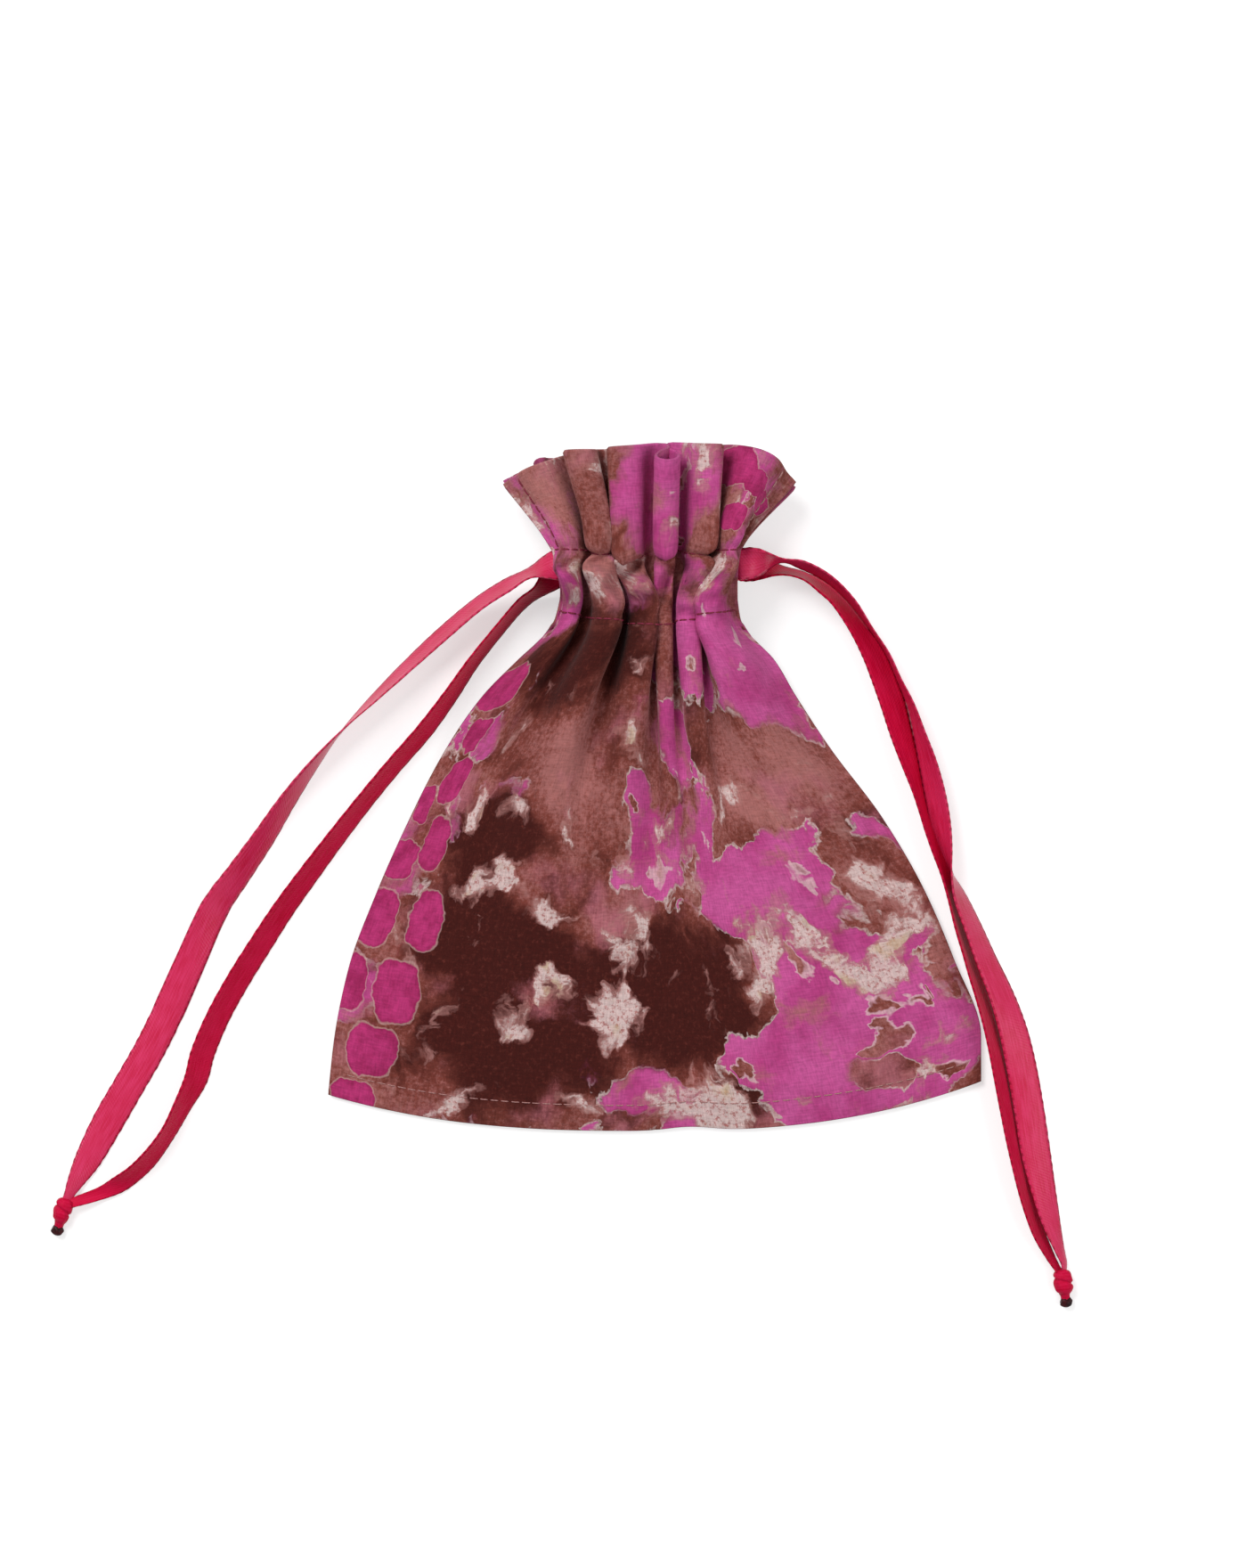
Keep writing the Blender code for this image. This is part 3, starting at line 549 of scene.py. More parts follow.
# Faint creases and the casing's dents: middle x and y, heading in degrees, half length, width and height
CREASES = (
    (-16, -13, -22, 12, 1.1, 0.5), (-7, -46, -4, 24, 1.1, 0.4), (-10, -64, -2, 9, 1.1, 0.45),
    (19, -4, 78, 10, 1.1, 0.5), (44, -12, 12, 10, 1.1, 0.4), (36, -52, 22, 12, 1.1, 0.35),
    (-44, -34, 68, 12, 1.1, 0.35), (30, -66, -8, 9, 1.1, 0.4), (-5.2, 48.4, 55, 3.4, 1.9, -6.0),
    (-11, 49.4, -20, 3.6, 1.3, -3.6), (7.0, 46.8, 84, 3.8, 1.0, -4.6), (13.8, 46.4, -50, 3.8, 1.4, -3.4),
    (-11.6, 45.4, 76, 4.4, 2.4, 1.6), (10.6, 48.6, 40, 3.0, 1.8, 1.6), (15.4, 43.0, 20, 2.6, 1.1, -1.6),
    (-15.6, 44.2, 70, 3.0, 1.2, -2.0), (2.2, 44.6, 76, 4.0, 0.8, -1.8), (13.0, 49.6, -16, 4.2, 0.8, -2.0),
    (11.0, 46.8, -68, 3.8, 0.8, -2.2), (-13.2, 47.2, 35, 3.4, 0.9, -2.0), (-8.6, 44.2, -62, 3.4, 0.9, -2.0),
    (-2.8, 45.2, 62, 3.6, 0.9, -1.8), (4.8, 49.2, 50, 2.6, 0.8, -2.0), (-13.6, 50.4, 24, 2.8, 0.9, -1.6),
    (7.6, 42.6, 62, 3.0, 0.8, -1.6))
CREASE_BOW = 0.01
KNOB = (-19.2, 49.4)  # cloth bunched over the left slit
KNOB_REACH = (3.2, 3.4)
KNOB_HEIGHT = 3.4
KNOB_SHIFT = 1.8  # outward
LOOP_FOLD = 3  # the fold that makes a loop at the frill's top
CRUMPLE_STARTS = (34.0, 43.0)  # levels between which the casing's crumpling fades in
CRUMPLE_ENDS = (50.0, 55.0)

BACK_STEPS = (20, 22, 20, 20, 20, 20, 22, 20)
BACK_BOUNDS = (
    (-53, -34, -16, 0, 17, 35, 54), (-47, -28, -13, 0, 13, 28, 46), (-39, -22, -10, 0, 9, 20, 33),
    (-29, -16, -7.4, 0, 6.6, 14.4, 23.6), (-16.6, -10.6, -5.4, 0, 4.8, 9.6, 14.2),
    (-16, -10.4, -5.0, 0, 4.6, 9.4, 13.8), (-16.8, -10.8, -5.2, 0, 4.8, 9.8, 14.2),
    (-25.6, -16.8, -8.0, 0, 7.6, 16, 24))
BACK_HEIGHTS = (
    (0, 0, 0, 0, 0, 0, 0, 0), (0.2, 0.3, 0.4, 0.3, 0.3, 0.4, 0.3, 0.2),
    (0.5, 1.2, 1.6, 1.4, 1.5, 1.2, 1.0, 0.5), (1.6, 3.2, 3.6, 3.4, 3.6, 3.2, 2.8, 1.6),
    (5.0, 6.4, 7.0, 6.8, 7.0, 6.6, 6.4, 5.0), (5.4, 7.2, 7.0, 7.2, 6.8, 7.2, 6.6, 5.4),
    (5.4, 7.0, 6.8, 6.8, 7.2, 6.8, 6.6, 5.4), (4.4, 6.6, 6.2, 6.6, 6.4, 6.0, 6.6, 4.4))
BACK_LEANS = ((0, -0.3, 0.2, 0.0, 0.3, -0.2, 0.2, 0), (0.4, -0.3, 0.3, 0.0, -0.3, 0.4, -0.3, 0.2))
BACK_TOPS = (68.6, 73.4, 74.0, 74.6, 74.0, 74.2, 74.8, 72.4, 67.2)

body_levels = np.linspace(BOTTOM_Y, SPLIT_Y, BODY_ROWS + 1)
casing_levels = np.linspace(SPLIT_Y, UPPER_Y, CASING_ROWS + 1)[1:]
frill_levels = np.linspace(UPPER_Y, TOP_Y, FRILL_ROWS + 1)[1:]
levels = np.concatenate([body_levels, casing_levels, frill_levels])
level_column = levels[:, None]
SPLIT_ROW = BODY_ROWS
UPPER_ROW = BODY_ROWS + CASING_ROWS
left_edge = between(levels, *zip(*LEFT_EDGE))
right_edge = between(levels, *zip(*RIGHT_EDGE))


def hump(value, middle, reach):
    return np.exp(-((value - middle) / reach) ** 2)


def seam_height(level):
    """Height of the side seam: low on the surface, rising to the neck's middle plane."""
    rise = np.clip(1 - (NECK_Y - level) / SEAM_RISE, 0, 1)
    return SEAM_FOOT + (NECK_MIDDLE - SEAM_FOOT) * rise * rise


def bottom_line(x):
    """The bottom edge, bowed down between its corners, with a slight notch."""
    share = np.abs(x / HALF_WIDTH)
    bow = -76.4 + 9.6 * share ** 2.6 + 1.5 * x / HALF_WIDTH * share
    return bow + 0.9 * hump(x, 8.0, 7.0)


class Folds:
    """The folds of one face: x of every point, how far its fold stands up, y, and x on the flat cloth."""

    def __init__(self, steps, bounds, heights, leans, tops, bulges):
        self.starts = np.concatenate([[0], np.cumsum(steps)])
        self.count = len(steps)
        self.middle = int(self.starts[self.count // 2])
        self.columns = int(self.starts[-1]) + 1
        column = np.arange(self.columns)
        self.number = np.clip(np.searchsorted(self.starts, column, "right") - 1, 0, self.count - 1)
        self.place = (column - self.starts[self.number]) / np.asarray(steps)[self.number]
        inner = [between(levels, FOLD_LEVELS, row) for row in zip(*bounds)]
        self.bounds = np.stack([left_edge] + inner + [right_edge], axis=1)
        found = np.stack([between(levels, FOLD_LEVELS, row) for row in zip(*heights)], axis=1)
        pinch = 0.12 * hump(levels, LOWER_Y, 1.8) + 0.36 * hump(levels, UPPER_Y, 2.2)
        self.heights = found * (1 - pinch)[:, None]
        self.x = np.zeros((len(levels), self.columns))
        self.raised = np.zeros_like(self.x)
        for i in range(self.count):
            self.lay_fold(i, steps[i], leans)
        flat_bounds = [-HALF_WIDTH] + list(bounds[0]) + [HALF_WIDTH]
        self.flat = self.column_values(flat_bounds)
        self.y = self.lay_rows(self.column_values(tops) + np.asarray(bulges)[self.number] * self.ridge(2))
        self.gap = np.minimum(self.x - left_edge[:, None], right_edge[:, None] - self.x).clip(0, None)

    def lay_fold(self, i, steps, leans):
        width = self.bounds[:, i + 1] - self.bounds[:, i]
        turn = np.interp(self.heights[:, i] / width, ARCH_RATIOS, ARCH_TURNS)
        place = np.linspace(0, 1, steps * FINE + 1)
        slope = turn[:, None] * np.sin(arch_phase(place))[None, :]
        run = np.zeros((len(levels), steps * FINE + 1))
        lift = np.zeros_like(run)
        run[:, 1:] = np.cumsum((np.cos(slope[:, 1:]) + np.cos(slope[:, :-1])) / 2, axis=1)
        lift[:, 1:] = np.cumsum((np.sin(slope[:, 1:]) + np.sin(slope[:, :-1])) / 2, axis=1)
        scale = width / run[:, -1]
        share = ease(levels, 40.0, 52.0)
        lean = leans[0][i] * (1 - share) + leans[1][i] * share
        x = self.bounds[:, i, None] + (run + lean[:, None] * lift) * scale[:, None]
        columns = slice(self.starts[i], self.starts[i + 1] + 1)
        self.x[:, columns] = x[:, ::FINE]
        self.raised[:, columns] = (lift * scale[:, None])[:, ::FINE]

    def column_values(self, marks):
        """A value for each column, from one at each valley."""
        return np.interp(np.arange(self.columns), self.starts, marks)

    def ridge(self, power):
        """0 in the valleys and 1 on the middle of each ridge."""
        return 1 - np.abs(2 * self.place - 1) ** power

    def lay_rows(self, tops):
        """Bowed rows at the bottom, straight ones at the neck, and the frill's own top edge."""
        down = ((SPLIT_Y - levels) / (SPLIT_Y - BOTTOM_Y)).clip(0, 1)[:, None]
        up = ((levels - UPPER_Y) / (TOP_Y - UPPER_Y)).clip(0, 1)[:, None]
        low = SPLIT_Y + (bottom_line(self.flat)[None, :] - SPLIT_Y) * down
        high = UPPER_Y + (tops[None, :] - UPPER_Y) * up
        return np.where(down > 0, low, np.where(up > 0, high, level_column))


def creases(x, y):
    """Height of the faint creases in the front."""
    total = np.zeros_like(x)
    for middle_x, middle_y, heading, reach, width, height in CREASES:
        turn = math.radians(heading)
        along = (x - middle_x) * math.cos(turn) + (y - middle_y) * math.sin(turn)
        across = (y - middle_y) * math.cos(turn) - (x - middle_x) * math.sin(turn)
        across = across + CREASE_BOW * along * along
        total += height * np.exp(-(across / width) ** 2 - (along / reach) ** 4)
    return total


def sewn_share(gap):
    """1 on the sewn edges, where the two cloths lie face to face, and 0 a little way in."""
    near_side = hump(gap, 0.0, SEAM_REACH)
    near_bottom = hump(level_column, BOTTOM_Y, SEAM_REACH)
    return np.maximum(near_side, near_bottom) * (1 - ease(level_column, SPLIT_Y, SEAM_TOP_Y))


def parting(most, less):
    """How far a cloth's side edge stands off the seam's level, at the slits and in the frill."""
    return ease(level_column, *SLIT_OPENS) * (most - less * ease(level_column, *FRILL_CLOSES))


def front_grid():
    folds = Folds(FRONT_STEPS, FRONT_BOUNDS, FRONT_HEIGHTS, FRONT_LEANS, FRONT_TOPS, FRONT_BULGES)
    x = folds.x
    y = folds.y
    level = level_column
    edge = seam_height(level) + parting(6.4, 4.4)
    crown = between(levels, *zip(*CROWN))
    reach = 12.0 - 7.0 * ease(level, 0.0, SPLIT_Y)
    cover = 1 - np.exp(-(folds.gap / reach) ** 1.3)
    wide = (right_edge - left_edge)[:, None] / 2
    outward = (1 - folds.gap / wide).clip(0, 1)
    base = edge + (crown[:, None] - edge) * cover * (1 - 0.25 * outward ** 4)
    free = cover * ease(level, BOTTOM_Y, BOTTOM_Y + 9.0)
    soft = 0.6 * ripples(folds.flat, y, 30.0, 3) + 0.25 * ripples(folds.flat, y, 11.0, 4) + creases(x, y)
    crumple = 1.7 * ripples(x, y, 7.0, 5) + 0.6 * ripples(x, y, 3.6, 7)
    puffs = crumple * ease(level, *CRUMPLE_STARTS) * (1 - ease(level, *CRUMPLE_ENDS))
    near_stitch = hump(level, LOWER_Y, 5.0) + hump(level, UPPER_Y, 4.0)
    puffs = puffs + 0.3 * ripples(folds.flat, y * 0.2, 6.0, 6) * near_stitch
    z = base + folds.raised + free * soft + puffs * cover + CLOTH * sewn_share(folds.gap)
    column = np.arange(folds.columns)[None, :]
    in_loop = (column >= folds.starts[LOOP_FOLD]) & (column <= folds.starts[LOOP_FOLD + 1])
    rise = ease(level, FRILL_CLOSES[0], TOP_Y)
    z = z + 2.4 * rise * hump(x, 2.3, 7.0)
    y = y - np.where(in_loop, 0.5, 0.06) * folds.raised * rise
    tips = np.asarray(FRONT_TIPS)[folds.number] * folds.ridge(1.1)
    y = y - tips * hump(level, 55.5, 2.6)
    bunch = np.exp(-((x - KNOB[0]) / KNOB_REACH[0]) ** 2 - ((y - KNOB[1]) / KNOB_REACH[1]) ** 2)
    z = z + bunch * (KNOB_HEIGHT + 1.2 * ripples(x, y, 3.2, 12))
    x = x - KNOB_SHIFT * bunch
    lowest = np.where(level > INSIDE_Y, NECK_MIDDLE + 1.3, 0.0)
    z = np.maximum(z, lowest)
    return np.stack([x, y, z], axis=-1), folds


def back_grid():
    folds = Folds(BACK_STEPS, BACK_BOUNDS, BACK_HEIGHTS, BACK_LEANS, BACK_TOPS, np.zeros(len(BACK_STEPS)))
    level = level_column
    edge = seam_height(level) - parting(5.2, 3.6)
    cover = 1 - np.exp(-(folds.gap / 7.0) ** 1.3)
    deepest = folds.heights.max(axis=1)[:, None]
    foot = 0.7 * (1 - ease(level, BOTTOM_Y, BOTTOM_Y + 8))
    base = 0.5 + deepest + 0.2 * ripples(folds.flat, folds.y, 24.0, 8) * (1 - foot) + foot
    z = edge + (base - folds.raised - edge) * cover - CLOTH * sewn_share(folds.gap)
    z = np.where(z < 0.5, 0.25 + 0.25 * np.exp((z - 0.5) / 0.25), z)
    z = np.where(level > INSIDE_Y, np.minimum(z, NECK_MIDDLE - 0.8), z)
    return np.stack([folds.x, folds.y, z], axis=-1), folds


def grid_normals(points, facing):
    down = np.gradient(points, axis=0)
    over = np.gradient(points, axis=1)
    return unit(np.cross(over, down)) * facing


front_points, front_folds = front_grid()
back_points, back_folds = back_grid()
front_points[0, :, 2] = SEAM_FOOT + CLOTH
sewn = levels <= SEAM_TOP_Y
apart = np.zeros((len(levels), 3))
apart[:, 2] = 2 * CLOTH * (1 - ease(levels, SPLIT_Y, SEAM_TOP_Y))
for side in (0, -1):
    back_points[sewn, side] = front_points[sewn, side] - apart[sewn]
back_points[0, :, 2] = SEAM_FOOT - CLOTH
front_normals = grid_normals(front_points, 1.0)
back_normals = grid_normals(back_points, -1.0)


def cloth_piece(name, points, normals, folds, rows, columns, thickness, print_shift):
    """A closed piece of cloth from part of a grid, with rounded edges."""
    outer = points[rows, columns]
    out = normals[rows, columns]
    count_y, count_x = outer.shape[:2]
    thick = thickness[rows][:, None, None]
    inner = outer - out * thick
    middle = outer - out * thick / 2
    index, rim = grid_index(count_y, count_x)
    pull = np.zeros_like(outer)
    pull[0] += outer[0] - outer[1]
    pull[-1] += outer[-1] - outer[-2]
    pull[:, 0] += outer[:, 0] - outer[:, 1]
    pull[:, -1] += outer[:, -1] - outer[:, -2]
    away = unit(pull)
    edge = (middle + away * thick / 2).reshape(-1, 3)[rim]
    total = count_y * count_x
    all_points = np.concatenate([outer.reshape(-1, 3), inner.reshape(-1, 3), edge])
    all_normals = np.concatenate([out.reshape(-1, 3), -out.reshape(-1, 3), away.reshape(-1, 3)[rim]])
    flat = np.broadcast_to(folds.flat[columns][None, :], (count_y, count_x))
    along = np.broadcast_to(levels[rows][:, None], (count_y, count_x))
    uv = np.stack([flat * MM + print_shift, along * MM], axis=-1).reshape(-1, 2)
    uvs = np.concatenate([uv, uv, uv[rim]])
    quads = grid_quads(index)
    up = np.dot(np.cross(outer[0, 1] - outer[0, 0], outer[1, 0] - outer[0, 0]), out[0, 0]) > 0
    outer_faces = quads if up else quads[:, ::-1]
    faces = outer_faces.tolist() + (outer_faces[:, ::-1] + total).tolist()
    for i in range(len(rim)):
        after = (i + 1) % len(rim)
        first = (rim[i], 2 * total + i, 2 * total + after, rim[after])
        second = (2 * total + i, rim[i] + total, rim[after] + total, 2 * total + after)
        for quad in (first, second):
            faces.append([int(k) for k in (quad if up else quad[::-1])])
    return new_piece(name, all_points, faces, batik, "Cloth", uvs, all_normals)


def follow(piece):
    """Move a piece's place and turn into its mesh."""
    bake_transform(piece)


shell = np.where(levels > UPPER_Y, FRILL_CLOTH, CLOTH)
panel_rows = slice(0, SPLIT_ROW + 1)
heading_rows = slice(SPLIT_ROW, len(levels))
FACES = {"front": (front_points, front_normals, front_folds, 0.0),
         "back": (back_points, back_normals, back_folds, 0.31)}
SIDES = (("left", -1), ("right", 1))


def half_columns(folds, side):
    return slice(0, folds.middle + 1) if side == "left" else slice(folds.middle, folds.columns)


for face, (points, normals, folds, shift) in FACES.items():
    for side, sign in SIDES:
        columns = half_columns(folds, side)
        name = f"{face}_{side}"
        grid = (points, normals, folds)
        panel = cloth_piece(name + "_panel_cloth", *grid, panel_rows, columns, shell, shift)
        stand_for(panel, "batik_cloth", None, face + "_panel")
        follow(panel)
        heading = cloth_piece(name + "_heading_cloth", *grid, heading_rows, columns, shell, shift)
        stand_for(heading, "batik_cloth", None, name + "_heading", name + "_facing")
        follow(heading)


# Stitches

def grid_at(values, row, column):
    """Values of a grid at places between its rows and columns."""
    row = np.clip(row, 0, values.shape[0] - 1.001)
    column = np.clip(column, 0, values.shape[1] - 1.001)
    r = row.astype(int)
    c = column.astype(int)
    fr = (row - r)[:, None]
    fc = (column - c)[:, None]
    upper = values[r, c] * (1 - fc) + values[r, c + 1] * fc
    lower = values[r + 1, c] * (1 - fc) + values[r + 1, c + 1] * fc
    return upper * (1 - fr) + lower * fr


def tube(path, outs, radius, sides=6):
    """Points and faces of a round thread along a path."""
    along = unit(np.gradient(path, axis=0))
    beside = unit(np.cross(along, outs))
    above = np.cross(beside, along)
    count = len(path)
    points = []
    for i in range(count):
        for k in range(sides):
            angle = 2 * math.pi * k / sides
            points.append(path[i] + radius * (beside[i] * math.cos(angle) + above[i] * math.sin(angle)))
    return points, ring_faces(count, sides, flipped=True)


STITCH_POINTS = 6


def stitch_row(name, points, normals, rows, columns, material, rng, radius=THREAD_RADIUS):
    """A row of separate stitches along a line on the cloth. Each dips into it at both ends."""
    path = grid_at(points, rows, columns)
    outs = unit(grid_at(normals, rows, columns))
    lengths = run_along(path)
    all_points = []
    all_faces = []
    begin = 0.6
    while begin + STITCH_LENGTH < lengths[-1]:
        reach = STITCH_LENGTH * rng.uniform(0.9, 1.1)
        spots = np.linspace(begin, min(begin + reach, lengths[-1]), STITCH_POINTS)
        line = np.stack([np.interp(spots, lengths, path[:, k]) for k in range(3)], axis=1)
        out = unit(np.stack([np.interp(spots, lengths, outs[:, k]) for k in range(3)], axis=1))
        height = np.sin(np.linspace(0, math.pi, STITCH_POINTS)) ** 0.5 * (radius + 0.1) - 0.12
        made, faces = tube(line + out * height[:, None], out, radius)
        base = len(all_points)
        all_points.extend(made)
        all_faces.extend([tuple(base + k for k in face) for face in faces])
        begin += STITCH_PITCH
    return new_piece(name, all_points, all_faces, material)


def row_at(level):
    return np.interp(level, levels, np.arange(len(levels)))


stitch_rng = np.random.default_rng(21)
LINE_STEPS = 900
LOWER_STITCH_MIDDLE = 36.2  # level of the lower casing stitch at the bag's middle
LOWER_STITCH_RISE = 3.6  # of its ends above that
HEM_IN = 6.0  # columns from a slit's edge to its stitches
TOPSTITCH_INSET = 5.2
TOPSTITCH_RADIUS = 0.12
for face, (points, normals, folds, shift) in FACES.items():
    for side, sign in SIDES:
        half = half_columns(folds, side)
        columns = np.linspace(half.start, half.stop - 1.0, LINE_STEPS)
        outward = np.linspace(1, 0, LINE_STEPS) if side == "left" else np.linspace(0, 1, LINE_STEPS)
        lower_level = LOWER_STITCH_MIDDLE + LOWER_STITCH_RISE * outward ** 1.4
        hem_rows = np.linspace(UPPER_ROW, len(levels) - 1.3, LINE_STEPS)
        hem_column = np.full(LINE_STEPS, HEM_IN if side == "left" else folds.columns - 1 - HEM_IN)
        hem_thread = pale_thread if (face, side) == ("front", "right") else burgundy
        lines = (("lower_stitch", row_at(lower_level), columns, burgundy),
                 ("upper_stitch", np.full(LINE_STEPS, float(UPPER_ROW)), columns, burgundy),
                 ("slit_stitch", hem_rows, hem_column, hem_thread))
        for kind, rows, places, material in lines:
            name = f"{face}_{side}_{kind}"
            stitches = stitch_row(name + "_thread", points, normals, rows, places, material, stitch_rng)
            slot = "pale_thread" if material is pale_thread else "burgundy_thread"
            stand_for(stitches, slot, None, name)
            follow(stitches)

topstitch_rows = np.full(2 * LINE_STEPS, row_at(BOTTOM_Y + TOPSTITCH_INSET))
topstitch_columns = np.linspace(3, front_folds.columns - 4, 2 * LINE_STEPS)
topstitch = stitch_row("bottom_topstitch_thread", front_points, front_normals, topstitch_rows,
                       topstitch_columns, pale_thread, stitch_rng, TOPSTITCH_RADIUS)
stand_for(topstitch, "pale_thread", "bag", "bottom_topstitch")


# Seams inside the bag: the allowances' raw edges and the threads that join the panels

ALLOWANCE = 7.0
ALLOWANCE_STEPS = 6
ALLOWANCE_IN = 1.2  # from a seam to where its allowance starts
THREAD_IN = 0.7  # from the panels' edges to a seam's thread
SEAM_ENDS = 8  # columns at the bottom corners that the bottom seam leaves free
SEAM_TOP_ROW = int(row_at(33.0))
SEAM_FOOT_ROW = int(row_at(BOTTOM_Y + 11.0))


def strip_piece(name, near, far):
    """A thin closed strip of cloth between two lines of points, slightly wavy along its raw edge."""
    shares = np.linspace(0, 1, ALLOWANCE_STEPS + 1)
    rows = near[None, :, :] + (far - near)[None, :, :] * shares[:, None, None]
    wave = 0.12 * ripples(rows[..., 0], rows[..., 1], 9.0, 31)
    rows[..., 2] += wave * shares[:, None]
    under = rows.copy()
    under[..., 2] -= CLOTH
    points = np.concatenate([rows.reshape(-1, 3), under.reshape(-1, 3)])
    faces = slab_faces(*rows.shape[:2])
    return new_piece(name, points, faces, batik, "Cloth", points[:, :2] * MM)


def sew(side, line, inward, far, sink):
    """A seam's allowance, from its line of points inward to its raw edge, and its thread."""
    allowance = strip_piece(side + "_seam_allowance_cloth", line + inward * ALLOWANCE_IN, far)
    stand_for(allowance, "batik_cloth", "bag", side + "_seam_allowance")
    path = line + inward * THREAD_IN - np.array([0, 0, sink])
    outs = np.tile(np.array([0.0, 0.0, 1.0]), (len(path), 1))
    seam = new_piece(side + "_seam_thread_line", *tube(path, outs, THREAD_RADIUS), burgundy)
    stand_for(seam, "burgundy_thread", "bag", side + "_seam_thread")


for side, sign in SIDES:
    edge_column = 0 if side == "left" else -1
    line = front_points[SEAM_FOOT_ROW:SEAM_TOP_ROW, edge_column] - np.array([0, 0, CLOTH])
    inward = np.array([-sign, 0.0, 0.0])
    far = line + inward * ALLOWANCE
    far[:, 2] = line[:, 2] * 0.9 + 0.15
    sew(side, line, inward, far, 0.1)

line = front_points[0, SEAM_ENDS:-SEAM_ENDS] - np.array([0, 0, CLOTH])
sew("bottom", line, np.array([0.0, 1.0, 0.0]), line + np.array([0, ALLOWANCE, 0.1]), 0.05)


# Ribbons. A route's point is x and y, the roll of the ribbon in degrees and, where they aren't 0 and 1, its
# height over the surface and the share of its width that is not bunched. The routes are the CAD model's, but
# for the right strands, which lie closer together here

ROUTES = {
    "left_front_strand": [
        (-27.0, 48.2, 66, 8.0), (-33.0, 45.2, 63, 5.4), (-39.4, 41.2, 63, 3.0), (-46.5, 35.4, 62, 1.0),
        (-53.4, 29.2, 65), (-61.8, 21.2, 73), (-69.8, 13.2, 87), (-76.4, 5.2, 104), (-82.2, -2.8, 118),
        (-87.4, -10.8, 129), (-93.0, -18.8, 138), (-98.6, -26.8, 150), (-104.2, -38.8, 170),
        (-109.6, -50.8, 180), (-113.6, -58.8, 180), (-118.2, -66.8, 180), (-122.8, -74.8, 180),
        (-127.0, -82.8, 172, 0.2, 0.85), (-129.8, -88.0, 160, 0.6, 0.55), (-131.2, -90.9, 150, 0.9, 0.35),
    ],
    "left_back_strand": [
        (-25.6, 44.8, -66, 0.8), (-29.8, 41.6, -72, 0.3), (-34.2, 36.6, -73), (-40.6, 28.6, -71),
        (-45.8, 21.0, -66), (-51.6, 13.2, -62), (-58.4, 5.4, -62), (-65.0, -2.6, -61), (-71.4, -10.8, -58),
        (-77.4, -18.8, -54), (-83.2, -26.8, -51), (-88.4, -34.8, -48), (-93.4, -42.8, -47),
        (-97.8, -50.8, -47), (-101.2, -58.8, -46), (-102.8, -64.8, -48), (-105.8, -70.8, -60),
        (-109.0, -76.8, -65), (-113.4, -82.8, -60), (-118.0, -87.0, -48, 0, 0.8),
        (-123.4, -90.2, -8, 0.4, 0.45), (-129.6, -92.4, 30, 0.9, 0.35),
    ],
    "right_front_strand": [
        (27.4, 51.0, 82, 7.0), (33.0, 50.0, 78, 5.0), (38.9, 47.0, 79, 3.2), (44.2, 42.0, 82, 1.6),
        (48.4, 36.1, 88, 0.6), (52.2, 30.4, 88, 0.2), (54.8, 24.6, 86), (57.3, 19.0, 80), (59.3, 12.5, 71),
        (61.2, 6.0, 60), (62.6, 0.0, 53), (63.5, -4.8, 51), (64.2, -9.2, 54), (65.1, -13.6, 68),
        (66.4, -18.4, 92), (68.4, -24.0, 116), (71.4, -31.0, 126), (74.4, -38.4, 134), (77.2, -44.8, 142),
        (79.4, -50.8, 152), (81.1, -56.8, 162), (82.6, -63.8, 168), (84.0, -71.8, 168), (85.4, -80.8, 164),
        (87.0, -88.8, 156, 0, 0.9), (88.9, -96.8, 144, 0, 0.75), (90.8, -103.0, 130, 0.3, 0.5),
        (91.9, -106.6, 120, 0.8, 0.35),
    ],
    "right_back_strand": [
        (27.2, 49.0, -65, 1.0), (33.0, 47.7, -73, 0.6), (37.8, 44.8, -64, 0.3), (41.1, 41.8, -62, 0.1),
        (45.3, 36.1, -55), (48.9, 30.4, -41), (51.3, 24.6, -37), (53.3, 19.0, -36), (55.1, 12.5, -43),
        (57.0, 6.0, -54), (58.7, 0.0, -66), (60.0, -4.8, -71), (61.4, -9.2, -70), (63.2, -13.8, -67),
        (65.2, -18.8, -65), (66.8, -24.4, -65), (68.2, -30.4, -66), (69.9, -36.2, -66), (71.5, -41.4, -64),
        (73.1, -46.4, -63), (74.7, -52.0, -62), (76.1, -58.0, -61), (77.3, -64.0, -60), (78.6, -70.8, -60),
        (80.0, -77.8, -60), (81.6, -84.8, -60), (83.4, -91.8, -58, 0, 0.9), (85.7, -98.8, -56, 0, 0.75),
        (88.3, -104.2, -54, 0.3, 0.5), (89.9, -107.0, -54, 0.8, 0.35),
    ],
}
USUAL = (0, 1)  # a point's height and share, where it doesn't give them
KNOT_TOPS = {"left": ((-131.9, -91.7), (-0.27, -0.96)), "right": ((91.1, -107.6), (0.16, -0.99))}
LOOP_LEVEL = {"left": 4.1, "right": 4.8}
HIDDEN_LEVEL = {"left": 0.25, "right": 0.55}  # of a ribbon's run deep in the gathers, from the middle plane
LEAD = 16.0  # of each strand inside the casing
BUNCHED = 0.8  # share of the ribbon's width that is left there
LANE = 0.6  # of the strands in the casing, below where they leave it
LOOP_DROP = 5.8  # of a loop's far end, so that the other ribbon passes over it
TUCK = 1.6  # of a strand's end into its knot
PER_SPAN = 8
ACROSS = 8


def smooth(points, per_span):
    """Points on a smooth curve through the given ones."""
    points = np.asarray(points, dtype=float)
    found = []
    for i in range(len(points) - 1):
        a = points[max(i - 1, 0)]
        b = points[i]
        c = points[i + 1]
        d = points[min(i + 2, len(points) - 1)]
        for k in range(per_span):
            t = k / per_span
            found.append(b + 0.5 * t * (c - a + t * (2 * a - 5 * b + 4 * c - d + t * (3 * (b - c) + d - a))))
    found.append(points[-1])
    return np.array(found)


